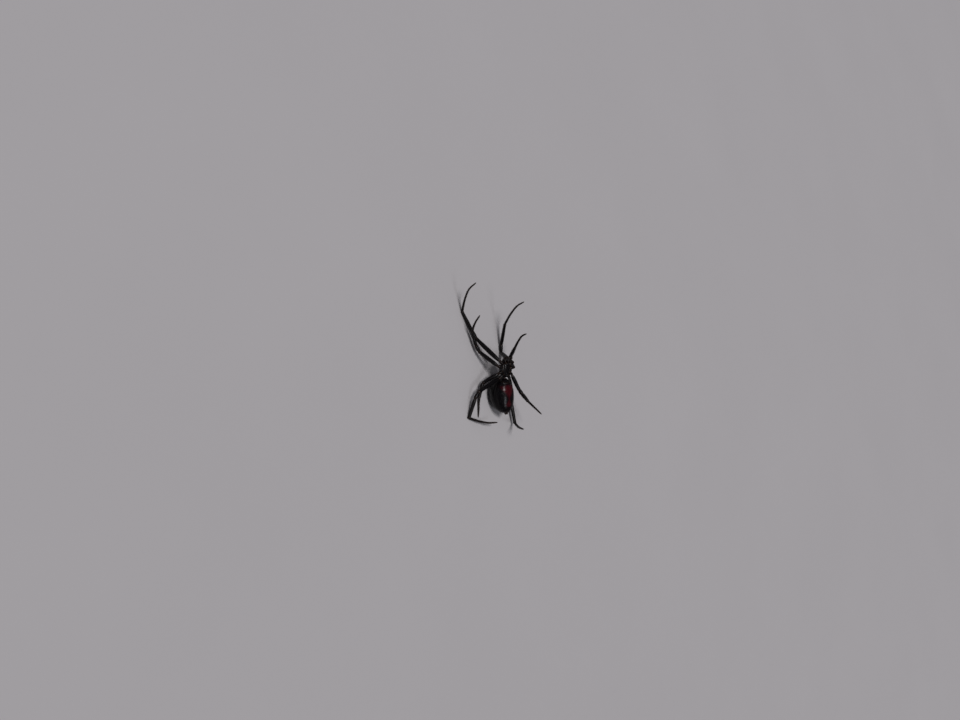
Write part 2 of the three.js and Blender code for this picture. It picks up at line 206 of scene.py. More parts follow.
def displaced(rings, height):
    """Moves each point of a grid along its outward normal by height (mm)."""
    along = np.gradient(rings, axis=0)
    across = (np.roll(rings, -1, 1) - np.roll(rings, 1, 1)) / 2
    normal = unit(np.cross(across, along))
    if np.einsum("ijk,ijk->ij", normal, rings - rings.mean(1, keepdims=True)).mean() < 0:
        normal = -normal
    return rings + normal * height[..., None]


# ---------------------------------------------------------------- curves
def catmull(points, samples=60):
    """Centripetal Catmull-Rom through points, as the solids' curves are, as a dense polyline."""
    p = np.asarray(points, float)
    ends = np.vstack([2 * p[0] - p[1], p, 2 * p[-1] - p[-2]])
    out = []
    for k in range(1, len(ends) - 2):
        p0, p1, p2, p3 = ends[k - 1 : k + 3]
        t0 = 0.0
        t1 = t0 + np.linalg.norm(p1 - p0) ** 0.5
        t2 = t1 + np.linalg.norm(p2 - p1) ** 0.5
        t3 = t2 + np.linalg.norm(p3 - p2) ** 0.5
        t = np.linspace(t1, t2, samples)[:, None]
        a1 = (t1 - t) / (t1 - t0) * p0 + (t - t0) / (t1 - t0) * p1
        a2 = (t2 - t) / (t2 - t1) * p1 + (t - t1) / (t2 - t1) * p2
        a3 = (t3 - t) / (t3 - t2) * p2 + (t - t2) / (t3 - t2) * p3
        b1 = (t2 - t) / (t2 - t0) * a1 + (t - t0) / (t2 - t0) * a2
        b2 = (t3 - t) / (t3 - t1) * a2 + (t - t1) / (t3 - t1) * a3
        c = (t2 - t) / (t2 - t1) * b1 + (t - t1) / (t2 - t1) * b2
        out.append(c if k == 1 else c[1:])
    return np.concatenate(out)


class Line:
    """A polyline measured by its length, going on straight past its ends."""

    def __init__(self, points):
        self.p = np.asarray(points, float)
        self.s = np.concatenate([[0], np.cumsum(np.linalg.norm(np.diff(self.p, axis=0), axis=1))])
        self.length = self.s[-1]
        self.t = unit(np.gradient(self.p, self.s, axis=0))

    def at(self, s):
        inside = np.clip(s, 0, self.length)
        point = np.stack([np.interp(inside, self.s, self.p[:, k]) for k in range(3)], -1)
        tangent = unit(np.stack([np.interp(inside, self.s, self.t[:, k]) for k in range(3)], -1))
        return point + tangent * (s - inside)[..., None], tangent


def straight(a, b):
    return Line(np.linspace(a, b, 12))


def bowed(a, b, control):
    t = np.linspace(0, 1, 40)[:, None]
    return Line((1 - t) ** 2 * a + 2 * t * (1 - t) * control + t * t * b)


def turned_rings(line, axial, radius, sides, plane, high=1.0, wide=1.0):
    """Rings of a lathe profile bent along a line. Column 0 looks to the back (dorsal) side of the limb."""
    point, tangent = line.at(np.asarray(axial, float))
    dorsal = unit(np.cross(tangent, plane))
    lateral = np.cross(dorsal, tangent)
    phi = np.arange(sides) / sides * 2 * np.pi
    r = np.asarray(radius, float)[:, None, None]
    return (
        point[:, None]
        + r * high * np.cos(phi)[None, :, None] * dorsal[:, None]
        + r * wide * np.sin(phi)[None, :, None] * lateral[:, None]
    )


# ---------------------------------------------------------------- sizes shared with the solids
COAT = 0.015  # how far the skin lies inside the solids
THORAX = dict(middle=-0.33, half_length=1.57, half_width=1.62, back=0.74)
HEAD = dict(middle=0.66, half_length=1.29, half_width=0.97, back=0.93)
STERNUM_DEPTH, BODY_FRONT, BODY_REAR = 0.62, 1.95, -1.9
ABDOMEN = dict(
    middle=np.array([-0.15, -5.62, -1.2]), half_length=3.78, half_width=2.58, back=2.75, belly=2.53, rear_lift=1.28, overhang=1.0, recess=0.4
)
SWING, PIVOT = math.radians(7.5), np.array([-0.15, -2.2, 0.0])  # the abdomen's rear is swung to the left about its stalk
STALK = ([0, -1.6, -0.06], [-0.05, -3.0, -0.3])
LENGTHS = {
    1: [6.95, 1.6, 4.8, 6.2, 2.25],
    2: [5.0, 1.4, 3.1, 3.8, 1.8],
    3: [3.8, 1.05, 2.05, 2.7, 1.4],
    4: [5.95, 1.5, 4.3, 4.75, 1.9],
}
# Visible radii: coxa, femur base, femur at its thickest, knee, patella, tibia, tibia end, metatarsus, tarsus, tip.
RADII = {
    1: dict(coxa=0.385, base=0.3, femur=0.46, knee=0.37, patella=0.37, tibia=0.345, tibia_end=0.285, meta=0.2, tarsus=0.135, tip=0.085),
    2: dict(coxa=0.365, base=0.28, femur=0.42, knee=0.36, patella=0.37, tibia=0.345, tibia_end=0.285, meta=0.2, tarsus=0.135, tip=0.085),
    3: dict(coxa=0.335, base=0.26, femur=0.41, knee=0.375, patella=0.38, tibia=0.36, tibia_end=0.295, meta=0.19, tarsus=0.13, tip=0.08),
    4: dict(coxa=0.35, base=0.285, femur=0.42, knee=0.365, patella=0.37, tibia=0.36, tibia_end=0.315, meta=0.22, tarsus=0.145, tip=0.085),
}
COXAE = {
    1: ([0.78, 0.82, 0.16], [1.6, 1.3, 0.1]),
    2: ([0.95, 0.1, 0.18], [2.0, 0.32, 0.08]),
    3: ([0.85, -0.7, 0.16], [1.62, -1.18, 0.0]),
    4: ([0.52, -1.3, 0.14], [1.38, -2.14, 0.03]),
}
SWUNG_COXAE = {(4, "left"): [1.715, -1.99, -0.78]}
# For each segment the azimuth (0 straight out to the side, 90 toward the head) and the elevation (+ to the belly).
POSE = {
    "right": {
        1: [[49.8, -33.8], [58.0, -14.9], [58.7, -8.7], [73.4, 40.5], [98.8, 57.3]],
        2: [[41.9, -35.4], [58.8, -13.5], [64.5, 3.4], [60.5, 49.5], [83.4, 49.9]],
        3: [[-39.8, -26.6], [-68.9, -7.7], [-80.9, 2.1], [-87.0, 7.6], [-87.0, 7.8]],
        4: [[-30.6, 1.4], [-61.5, -3.8], [-76.0, -4.6], [-170.0, 6.2], [175.4, 14.4]],
    },
    "left": {
        1: [[51.6, -69.0], [93.0, -0.2], [98.9, 21.5], [99.0, 50.4], [88.1, 69.2]],
        2: [[28.6, -62.3], [99.7, 28.0], [119.0, 51.8], [99.9, 46.9], [110.6, 72.5]],
        3: [[-54.6, 0.2], [-59.2, 23.8], [-58.4, 33.0], [-58.3, 45.3], [-60.0, 47.4]],
        4: [[-50.1, -30.1], [-102.7, 10.6], [-79.2, 9.1], [-154.9, 67.4], [182.6, 69.2]],
    },
}
PALP_ROOT = [0.5, 1.1, 0.65]
PALP = [[0.76, 69, -17.5], [0.31, 78, 10], [0.44, 128, 60], [0.64, 200, 46]]
EYES = {
    "anterior_median": [1.9, 18, 0.09],
    "anterior_lateral": [1.84, 60, 0.085],
    "posterior_median": [1.7, 15, 0.088],
    "posterior_lateral": [1.68, 48, 0.085],
}
SIDES = (("left", 1), ("right", -1))

# Places on the skin's unwrap (OFBake), at about the same size for all.
RECT_ABDOMEN = (0.01, 0.60, 0.63, 0.99)
RECT_TRUNK = (0.65, 0.78, 0.99, 0.99)
LEG_LINES = {  # row of the unwrap and where along it each leg's strip begins
    (1, "left"): (0, 0.0),
    (1, "right"): (1, 0.0),
    (4, "left"): (2, 0.0),
    (4, "right"): (3, 0.0),
    (2, "left"): (4, 0.0),
    (2, "right"): (5, 0.0),
    (3, "left"): (6, 0.0),
    (3, "right"): (6, 0.5),
}
SMALL_CELLS = {}


def small_rect(name):
    """A cell for each small piece, to the right of the abdomen's."""
    k = SMALL_CELLS.setdefault(name, len(SMALL_CELLS))
    col, line = k % 8, k // 8
    u, v = 0.65 + col * 0.0425, 0.585 + line * 0.032
    return (u, v, u + 0.039, v + 0.029)


# ---------------------------------------------------------------- cephalothorax
def bulge(t, power, root):
    return np.maximum(0, 1 - np.abs(t) ** power) ** root


def smooth_max(a, b):
    return (a**6 + b**6) ** (1 / 6)


def body_section(y):
    t = (y - THORAX["middle"]) / THORAX["half_length"]
    h = (y - HEAD["middle"]) / HEAD["half_length"]
    ahead = np.where(y > -0.6, 1.0, 0.0)
    width = smooth_max(THORAX["half_width"] * bulge(t, 2.1, 0.5), ahead * HEAD["half_width"] * bulge(h, 4, 0.27))
    back = smooth_max(THORAX["back"] * bulge(t, 2.6, 0.6), ahead * HEAD["back"] * bulge(h, 4, 0.34))
    belly = STERNUM_DEPTH * bulge((y - 0.02) / 1.93, 4, 0.42)
    return width, back, belly


def body_point(y, angle, grow=0.0):
    """A point of the cephalothorax, angle from the middle of the back."""
    y, angle = np.broadcast_arrays(np.asarray(y, float), np.asarray(angle, float))
    width, back, belly = body_section(y)
    c, s = np.cos(angle), np.sin(angle)
    reach = np.where(c > 0, 1.0, 1 - 0.42 * (1 - (1 + np.minimum(c, 0)) ** 3))
    return np.stack(
        [
            (width + grow) * reach * np.sign(s) * np.abs(s) ** 0.92,
            y,
            np.where(c > 0, -(back + grow) * c, -(belly + grow) * c),
        ],
        -1,
    )


def even_rows(profile, rows, power=1.0):
    """Places -1..1 along a body so that rings are evenly spread over its outline."""
    theta = np.linspace(0.004, math.pi - 0.004, 3000)
    a = np.cos(theta)
    p = profile(a)
    s = np.concatenate([[0], np.cumsum(np.linalg.norm(np.diff(p, axis=0), axis=1))])
    return np.interp(np.linspace(0, s[-1], rows), s, a)


def to_segment(x, y, a, b):
    a, b = np.array(a, float), np.array(b, float)
    d = b - a
    t = np.clip(((x - a[0]) * d[0] + (y - a[1]) * d[1]) / (d @ d), 0, 1)
    return np.hypot(x - a[0] - t * d[0], y - a[1] - t * d[1]), t


def make_trunk(skin, rows=120, columns=140):
    middle, half = (BODY_FRONT + BODY_REAR) / 2, (BODY_FRONT - BODY_REAR) / 2

    def outline(a):
        y = middle + half * a * 0.9993
        return body_point(y, np.full_like(y, 1.1), -COAT)

    a = even_rows(outline, rows)
    y = middle + half * a * 0.9993
    angle = np.arange(columns) / columns * 2 * np.pi + math.pi / columns
    rings = body_point(y[:, None], angle[None, :], -COAT)
    rings[..., 1] = middle + (rings[..., 1] - middle) * (1 - COAT / half)
    x, yy = rings[..., 0], rings[..., 1]
    c = np.cos(angle)[None, :]
    on_back = step(c, 0.02, 0.35)
    on_belly = step(-c, 0.1, 0.5)
    height = np.zeros_like(x)
    # Back: the pit behind the middle, the grooves that part head from thorax, and faint furrows toward the legs.
    height -= on_back * 0.13 * np.exp(-((x / 0.26) ** 2) - ((yy + 0.62) / 0.13) ** 2)
    for side in (-1, 1):
        d, t = to_segment(x, yy, (side * 0.12, -0.5), (side * 1.12, 0.72))
        height -= on_back * 0.06 * gauss(d, 0.09) * step(t, 0.0, 0.25)
        for end, depth in (((side * 1.45, 0.1), 0.026), ((side * 1.5, -0.62), 0.03), ((side * 1.1, -1.35), 0.026)):
            d, t = to_segment(x, yy, (side * 0.22, -0.62), end)
            height -= on_back * depth * gauss(d, 0.08) * step(t, 0.1, 0.4)
    # The rim of the back shield, a fine bead with a groove below it.
    height += 0.022 * gauss(c - 0.02, 0.07) * step(-yy, -1.75, -1.3)
    height -= 0.05 * gauss(c + 0.16, 0.08) * step(-yy, -1.7, -1.2)
    # Low mounds that carry the eyes.
    for kind, (ey, degrees, radius) in EYES.items():
        for side in (-1, 1):
            centre = body_point(ey, side * math.radians(degrees), -COAT)
            d = np.linalg.norm(rings - centre, axis=-1)
            height += 0.05 * gauss(d, radius * 1.7)
    # Breast plate (sternum): a shield with a raised edge, drawn to a point between the last coxae.
    edge = smooth_curve(np.clip(yy, -1.62, 0.82), [-1.62, -1.25, -0.6, 0.25, 0.66, 0.82], [0.04, 0.2, 0.5, 0.66, 0.58, 0.4])
    out = np.abs(x) - edge
    plate = on_belly * step(yy, -1.75, -1.5) * (1 - step(yy, 0.72, 0.84))
    height += plate * 0.035 * step(-out, -0.02, 0.06)
    height -= plate * 0.06 * gauss(out - 0.07, 0.06)
    height += plate * 0.02 * gauss(out + 0.05, 0.05)
    for side in (-1, 1):
        for k, centre in enumerate(((0.52, 0.5), (0.56, -0.2), (0.4, -0.85))):
            height += plate * 0.012 * gauss(np.hypot(x - side * centre[0], yy - centre[1]), 0.16)
    height += 0.006 * value_noise(rings, 3, 7.0)
    rings = displaced(rings, height)
    brown = 0.25 * gauss(c - 0.02, 0.1) + 0.0 * x
    soft = on_belly * step(out, 0.02, 0.12) * step(-yy, -1.1, -0.7)
    skin.add(
        "trunk", rings, (np.array([0, y[0] + 0.004, 0.05]), np.array([0, y[-1] - 0.004, 0.0])), RECT_TRUNK, 0, brown=brown, soft=soft
    )


# ---------------------------------------------------------------- abdomen
MARK_TURN = math.radians(3)  # the underside is turned a little toward the spider's left


def swung(p):
    """Turns points of the abdomen about the end of its stalk."""
    c, s = math.cos(SWING), math.sin(SWING)
    d = np.asarray(p, float) - PIVOT
    return np.stack([d[..., 0] * c - d[..., 1] * s, d[..., 0] * s + d[..., 1] * c, d[..., 2]], -1) + PIVOT


def abdomen_point(a, psi, grow=0.0):
    """A point of the abdomen: a from -1 at the rear to 1 in front, psi from the middle of the belly to the left."""
    a, psi = np.broadcast_arrays(np.asarray(a, float), np.asarray(psi, float))
    ring = np.sqrt(np.maximum(0, 1 - a * a))
    lift = np.where(a < 0, ABDOMEN["rear_lift"] * np.abs(np.minimum(a, 0)) ** 2.2, 0.25 * a * a)
    z = np.where(a > 0, ring**0.72, ring**0.97) * np.cos(psi)
    # The front bulges over the stalk on the side of the back and falls back on the side of the belly.
    to_front, reach = np.maximum(0, a) ** 2, np.hypot(z, 0.173)
    slant = ABDOMEN["overhang"] * to_front * 0.5 * (reach - z) - ABDOMEN["recess"] * to_front**2 * 0.5 * (reach + z)
    place = ABDOMEN["middle"] + np.stack(
        [
            np.where(a > 0, ring**1.1, ring**0.97) * np.sin(psi) * (ABDOMEN["half_width"] + grow),
            a * (ABDOMEN["half_length"] + grow) + slant,
            z * (np.where(z > 0, ABDOMEN["belly"] - 0.35 * lift, ABDOMEN["back"]) + grow) + lift,
        ],
        -1,
    )
    return swung(place)


def silk_outlet():
    """Where the spinnerets stand and which way they point."""
    outlet = swung(ABDOMEN["middle"] + np.array([0, -ABDOMEN["half_length"] + 0.1, ABDOMEN["rear_lift"] + 0.1]))
    return outlet, unit(swung(PIVOT + np.array([0, -0.87, 0.49])) - PIVOT)


def mark_field(a, across):
    """How far inside the hourglass a place is, in mm: two triangles that meet at a waist."""
    front, waist, rear = 0.585, -0.2, -0.6
    half = smooth_curve(
        np.clip(a, rear, front),
        [rear, -0.5, -0.36, waist, -0.05, 0.14, 0.32, 0.48, front],
        [0.8, 0.76, 0.46, 0.19, 0.5, 1.02, 1.56, 1.95, 2.02],
    )
    inside = (half - np.abs(across)) * 0.86
    ends = np.minimum(front - a + 0.035 * np.cos(across * 1.6) - 0.02, a - rear + 0.05 * np.cos(across * 2.6)) * 3.3
    # The corners are rounded where side and end meet.
    k = 0.09
    return -k * np.log(np.exp(-np.clip(inside, -3, 3) / k) + np.exp(-np.clip(ends, -3, 3) / k))


def make_abdomen(skin, rows=150, columns=168):
    def outline(a):
        return abdomen_point(a, np.full_like(a, 1.2), -COAT)

    a = even_rows(outline, rows)[:, None]
    # Column 0 is the middle of the back, so that the seam of the unwrap is there.
    psi = np.arange(columns)[None, :] / columns * 2 * np.pi - math.pi
    rings = abdomen_point(a, psi, -COAT)
    local = psi - MARK_TURN
    ring = np.sqrt(np.maximum(0, 1 - a * a))
    across = ring * ABDOMEN["half_width"] * local
    along = a * ABDOMEN["half_length"]
    on_belly = step(np.cos(local), 0.0, 0.3)
    height = 0.016 * value_noise(rings, 11, 1.3) + 0.004 * value_noise(rings, 12, 5.0)
    # Fold across the belly in front of the mark, with the lung covers and the genital plate before it.
    bend = 0.10 * (across / 1.5) ** 2
    d = along - (2.46 + bend)
    reach = 1 - step(np.abs(across), 1.15, 1.75)
    height -= on_belly * reach * 0.048 * gauss(d, 0.07)
    height += on_belly * reach * 0.018 * gauss(d - 0.13, 0.1)
    for side in (-1, 1):
        oval = np.hypot((across - side * 0.92) / 0.56, (along - 2.92) / 0.36)
        height += on_belly * 0.09 * (1 - step(oval, 0.3, 1.12))
        height -= on_belly * 0.022 * gauss(oval - 1.14, 0.13)
    plate = np.hypot(across / 0.4, (along - 2.66) / 0.2)
    height += on_belly * 0.07 * (1 - step(plate, 0.3, 1.15))
    slit = np.hypot(across / 0.2, (along - 2.57) / 0.06)
    height -= on_belly * 0.06 * (1 - step(slit, 0.4, 1.2))
    # A low swell across the belly behind the fold.
    height += on_belly * 0.028 * gauss(along - 1.17, 0.45) * (1 - step(np.abs(across), 1.3, 2.3))
    # Muscle dimples in pairs along the back.
    for at, off in ((1.55, 0.62), (0.35, 0.8), (-0.95, 0.66), (-2.0, 0.42)):
        for side in (-1, 1):
            turned_back = np.abs(local) - math.pi
            sideways = ring * 2.6 * np.where(local > 0, 1, -1) * turned_back
            spot = np.hypot(np.where(side > 0, sideways + off, sideways - off), along - at)
            height -= (np.cos(local) < 0) * 0.055 * gauss(spot, 0.13)
    # Muscle dimples on the belly, two small pairs beside the mark.
    for at, off in ((0.6, 1.5), (-1.3, 1.05)):
        for side in (-1, 1):
            height -= on_belly * 0.028 * gauss(np.hypot(across - side * off, along - at), 0.1)
    # Ring folds round the silk outlet and fine pleats at the stalk.
    outlet, heading = silk_outlet()
    to_rear = np.linalg.norm(rings - outlet - heading * 0.1, axis=-1)
    height -= 0.035 * gauss(to_rear - 0.62, 0.07) + 0.022 * gauss(to_rear - 0.86, 0.06) + 0.012 * gauss(to_rear - 1.1, 0.07)
    to_stalk = np.linalg.norm(rings - np.array([-0.02, -2.0, -0.15]), axis=-1)
    height += 0.016 * np.cos(psi * 17 + 1.4 * np.sin(psi * 3)) * gauss(to_stalk - 0.55, 0.34)
    rings = displaced(rings, height)
    mark = np.where(np.cos(local) > -0.2, mark_field(a, across), -3.0)
    brown = on_belly * (
        0.5 * (1 - step(plate, 0.5, 1.3))
        + 0.16 * (1 - step(np.hypot((np.abs(across) - 0.92) / 0.56, (along - 2.92) / 0.36), 0.7, 1.1))
    )
    brown = brown + 0.5 * gauss(to_rear, 0.6) + 0.3 * gauss(to_stalk, 0.5)
    ends = (abdomen_point(1.0, 0.0, -COAT), abdomen_point(-1.0, 0.0, -COAT))
    skin.add("abdomen", rings, ends, RECT_ABDOMEN, 1, mark=mark, brown=brown)


# ---------------------------------------------------------------- limbs
def direction(azimuth, elevation, side):
    az, el = math.radians(azimuth), math.radians(elevation)
    return np.array([side * math.cos(az) * math.cos(el), math.sin(az) * math.cos(el), math.sin(el)])


def shell(skin, name, line, start, end, radius_at, plane, rect, slot=2, sides=20, rings=24, lead=0.5, lip=0.0, tail=1.0, brown=(0.0, 0.0), high=1.0, wide=1.0):
    """One segment as a closed tube: a rounded start that sits inside its neighbour, a body, and an end with a slight lip."""
    t = np.linspace(0, 1, rings)
    body = start + (end - start) * t
    r = radius_at(t)
    r = r * (1 - 0.18 * np.exp(-(body - start) / 0.09)) if lead else r
    if lip:
        r = r * (1 + lip * gauss(body - (end - 0.07), 0.06)) * (1 - 0.6 * lip * gauss(body - (end - 0.2), 0.06))
    first, last = r[0], r[-1]
    q = np.linspace(0.16, 1, 6)[:-1]
    lead_r = first * np.sin(q * math.pi / 2) ** 0.75
    lead_s = start - lead * first * np.cos(q * math.pi / 2)
    tail_r = last * np.sin(q[::-1] * math.pi / 2) ** 0.7
    tail_s = end + 0.72 * tail * last * np.cos(q[::-1] * math.pi / 2)
    axial = np.concatenate([lead_s, body, tail_s])
    radius = np.concatenate([lead_r, r, tail_r])
    grid = turned_rings(line, axial, radius, sides, plane, high, wide)
    poles = line.at(np.array([start - lead * first * 1.02, end + 0.74 * tail * last]))[0]
    place = np.clip((axial - start) / (end - start), 0, 1)
    # Browner at both ends of a segment, where the cuticle is thin.
    ends = np.maximum(np.exp(-np.abs(axial - start) / 0.1) * 0.8, np.exp(-np.abs(axial - end) / 0.06) * 0.55)
    tint = brown[0] + (brown[1] - brown[0]) * place
    skin.add(name, grid, poles, rect, slot, brown=(np.maximum(ends, tint))[:, None])
    skin.grids[name]["span"] = (5, 5 + rings)
    skin.grids[name]["length"] = end - start
    skin.grids[name]["lateral"] = plane


def ball(skin, name, centre, radius, axis, rect, slot=3, rows=9, columns=14, stretch=1.0, brown=0.6):
    """A soft joint skin between two segments."""
    axis = unit(axis)
    side = unit(np.cross(axis, [0.31, 0.57, 0.76]))
    other = np.cross(axis, side)
    q = np.linspace(0, math.pi, rows + 2)[1:-1]
    phi = np.arange(columns) / columns * 2 * np.pi
    grid = centre + radius * (
        -np.cos(q)[:, None, None] * axis * stretch
        + np.sin(q)[:, None, None] * (np.cos(phi)[None, :, None] * side + np.sin(phi)[None, :, None] * other)
    )
    poles = (centre - axis * radius * stretch, centre + axis * radius * stretch)
    skin.add(name, grid, poles, rect, slot, brown=brown)


LEG_LINES_MADE = {}


def make_leg(skin, number, side_name, side):
    lengths, r = LENGTHS[number], RADII[number]
    mirror = np.array([side, 1, 1])
    root, hip = np.array(COXAE[number][0]) * mirror, np.array(SWUNG_COXAE.get((number, side_name), COXAE[number][1])) * mirror
    headings = [direction(az, el, side) for az, el in POSE[side_name][number]]
    joints = [hip]
    for heading, length in zip(headings, lengths):
        joints.append(joints[-1] + heading * length)
    _, knee, patella_end, ankle, last_joint, tip = joints
    plane = unit(np.cross(headings[0], headings[2]))
    coxa_heading = unit(hip - root)
    outward = unit(np.cross(headings[0], plane))
    # A foot that carries the spider is drawn in to meet the floor, since the real one is thinner than its solid.
    if (number, side_name) == (3, "right"):
        drop = FLOOR_NORMAL * 0.105
        tip, last_joint = tip - drop, last_joint - drop * 0.7
    leg = f"leg_{number}_{side_name}"

    line_number, begin = LEG_LINES[(number, side_name)]
    v0 = 0.02 + line_number * 0.0795
    at = [0.01 + begin * 0.98]

    def rect(length):
        """The next stretch of this leg's strip. Strips run along u, so the rings' columns go along v."""
        u0 = at[0]
        at[0] += length / 26.5 + 0.004
        return (u0, v0, at[0] - 0.004, v0 + 0.072)

    def leg_shell(name, line, start, end, places, radii, brown=(0.0, 0.0), rings=24, **more):
        shell(
            skin, f"{leg}_{name}", line, start, end, lambda t: smooth_curve(t, places, radii), plane, ("turned", rect(end - start)),
            rings=rings, brown=brown, **more,
        )  # fmt: skip

    coxa_line = straight(root, hip)
    leg_shell("coxa", coxa_line, 0.02, coxa_line.length - 0.2, [0, 0.5, 1], [r["coxa"] * 0.86, r["coxa"], r["base"] * 1.16], rings=14, lip=0.05)
    ball(skin, f"{leg}_hip_skin", hip - coxa_heading * 0.14, r["base"] * 0.93, coxa_heading, small_rect("hip"))
    turn = unit(coxa_heading + headings[0])
    ring_line = straight(hip - turn * 0.17, hip + turn * 0.17)
    leg_shell("trochanter", ring_line, 0.0, ring_line.length, [0, 0.5, 1], [r["base"] * 0.93, r["base"] * 1.1, r["base"] * 0.95], rings=9, lead=0.35, tail=0.5)
    femur_line = bowed(hip, knee, (hip + knee) / 2 + outward * 0.02 * lengths[0])
    leg_shell(
        "femur", femur_line, 0.2, femur_line.length - 0.06, [0, 0.06, 0.2, 0.42, 0.75, 0.93, 1],
        [r["base"] * 0.92, r["base"] * 1.1, r["femur"] * 0.95, r["femur"], r["femur"] * 0.93, r["knee"] * 0.96, r["knee"]], rings=44, lip=0.035, high=1.03, wide=0.96,
    )  # fmt: skip
    ball(skin, f"{leg}_knee_skin", knee + headings[1] * 0.02, r["knee"] * 0.9, headings[0] + headings[1], small_rect("knee"))
    patella_line = straight(knee, patella_end)
    leg_shell(
        "patella", patella_line, 0.1, patella_line.length - 0.05, [0, 0.2, 0.6, 0.9, 1],
        [r["knee"] * 0.84, r["knee"] * 0.93, r["patella"] * 1.02, r["patella"], r["patella"] * 0.95], rings=22, lip=0.03,
    )  # fmt: skip
    ball(skin, f"{leg}_patella_skin", patella_end, r["tibia"] * 0.88, headings[1] + headings[2], small_rect("patella"))
    tibia_line = straight(patella_end, ankle)
    leg_shell(
        "tibia", tibia_line, 0.08, tibia_line.length - 0.05, [0, 0.07, 0.25, 0.6, 0.88, 1],
        [r["tibia"] * 0.82, r["tibia"] * 0.95, r["tibia"], r["tibia"] * 0.93, r["tibia_end"] * 1.01, r["tibia_end"]], rings=36, lip=0.04, brown=(0.0, 0.05),
    )  # fmt: skip
    ball(skin, f"{leg}_ankle_skin", ankle, r["tibia_end"] * 0.82, headings[2] + headings[3], small_rect("ankle"))
    sag = unit(headings[4] - headings[3] * (headings[4] @ headings[3]))
    end_line = Line(catmull([ankle, (ankle + last_joint) / 2 - sag * 0.035 * lengths[3], last_joint, tip]))
    share = lengths[3] / (lengths[3] + lengths[4])
    joint_at = end_line.length * share
    leg_shell(
        "metatarsus", end_line, 0.05, joint_at - 0.02, [0, 0.05, 0.15, 0.5, 0.93, 1],
        [r["meta"] * 0.98, r["meta"] * 1.1, r["meta"] * 1.04, r["meta"] * 0.92, r["tarsus"] * 1.18, r["tarsus"] * 1.14], rings=40, lip=0.06, brown=(0.05, 0.3), sides=18,
    )  # fmt: skip
    leg_shell(
        "tarsus", end_line, joint_at + 0.02, end_line.length - 0.05, [0, 0.08, 0.5, 0.92, 1],
        [r["tarsus"] * 0.95, r["tarsus"] * 1.05, r["tarsus"], r["tip"] * 1.12, r["tip"]], rings=24, brown=(0.35, 0.6), sides=16, tail=0.8,
    )  # fmt: skip
    LEG_LINES_MADE[leg] = dict(end=end_line, plane=plane, tip=tip, number=number, joint=joint_at, sizes=r)


def make_mouth(skin):
    for side_name, side in SIDES:
        x, y, top, bottom, radius = 0.29, 1.5, 0.2, 1.22, 0.255
        line = Line(
            catmull([[side * x, y - 0.16, top], [side * (x + 0.015), y + 0.03, (top + bottom) / 2], [side * (x - 0.01), y, bottom]], 30)
        )
        shell(
            skin, f"chelicera_{side_name}", line, 0.05, line.length, lambda t: smooth_curve(t, [0, 0.35, 0.7, 1], [radius * 0.88, radius * 1.0, radius * 0.93, radius * 0.78]),
            np.array([1.0, 0, 0]), small_rect(f"chelicera_{side_name}"), slot=0, sides=24, rings=26, lead=0.3, lip=0.03, tail=0.9,
        )  # fmt: skip
        # Palp: femur, patella, tibia and tarsus along one curve.
        joints = [np.array(PALP_ROOT) * [side, 1, 1]]
        for length, azimuth, elevation in PALP:
            joints.append(joints[-1] + direction(azimuth, elevation, side) * length)
        line = Line(catmull(joints, 30))
        whole = line.length
        plane = np.array([1.0, 0.12, 0.2])
        thick = 0.205
        parts = (
            ("base", -0.12, 0.1, [0, 0.5, 1], [0.95, 1.12, 0.85]),
            ("femur", 0.11, 0.345 * whole, [0, 0.2, 0.6, 1], [0.8, 1.0, 1.06, 0.92]),
            ("patella", 0.36 * whole, 0.49 * whole, [0, 0.3, 0.8, 1], [0.78, 0.95, 1.0, 0.9]),
            ("tibia", 0.505 * whole, 0.69 * whole, [0, 0.3, 0.8, 1], [0.76, 0.95, 1.02, 0.93]),
            ("tarsus", 0.705 * whole, whole, [0, 0.25, 0.7, 1], [0.78, 0.95, 0.86, 0.52]),
        )
        for part, start, end, places, radii in parts:
            shell(
                skin, f"palp_{side_name}_{part}", line, start, end, lambda t, p=places, q=radii: thick * smooth_curve(t, p, q), plane,
                small_rect(f"palp_{side_name}_{part}"), sides=18, rings=16, lip=0.03, brown=(0.1, 0.35) if part == "tarsus" else (0.05, 0.1),
            )  # fmt: skip
        LEG_LINES_MADE[f"palp_{side_name}"] = dict(end=line, plane=unit(plane), tip=line.p[-1], number=0, sizes=dict(tip=thick * 0.5))
    # The lip between the two chewing lobes.
    for name, centre, size, lean in (
        ("lip", (0, 0.82, 0.56), (0.24, 0.24, 0.2), 0.0),
        ("lobe_left", (0.29, 0.96, 0.6), (0.2, 0.33, 0.22), -0.3),
        ("lobe_right", (-0.29, 0.96, 0.6), (0.2, 0.33, 0.22), 0.3),
    ):
        q = np.linspace(0, math.pi, 24)[1:-1]
        phi = np.arange(26) / 26 * 2 * np.pi
        x = np.sin(q)[:, None] * np.cos(phi)[None]
        z = np.sin(q)[:, None] * np.sin(phi)[None]
        y = np.cos(q)[:, None] + 0 * x
        # Lobes are blunt, a little square in front, and lean toward the middle.
        px = np.sign(x) * np.abs(x) ** 0.9 * size[0] + lean * size[1] * 0.5 * np.maximum(y, -0.2)
        grid = np.stack([px, y * size[1], np.sign(z) * np.abs(z) ** 0.85 * size[2]], -1) + np.array(centre)
        ends = (np.array(centre) + [lean * size[1] * 0.5, size[1], 0], np.array(centre) - [lean * size[1] * 0.1, size[1], 0])
        skin.add(name, grid, ends, small_rect(name), 0, brown=0.35 * step(y, 0.2, 1.0))


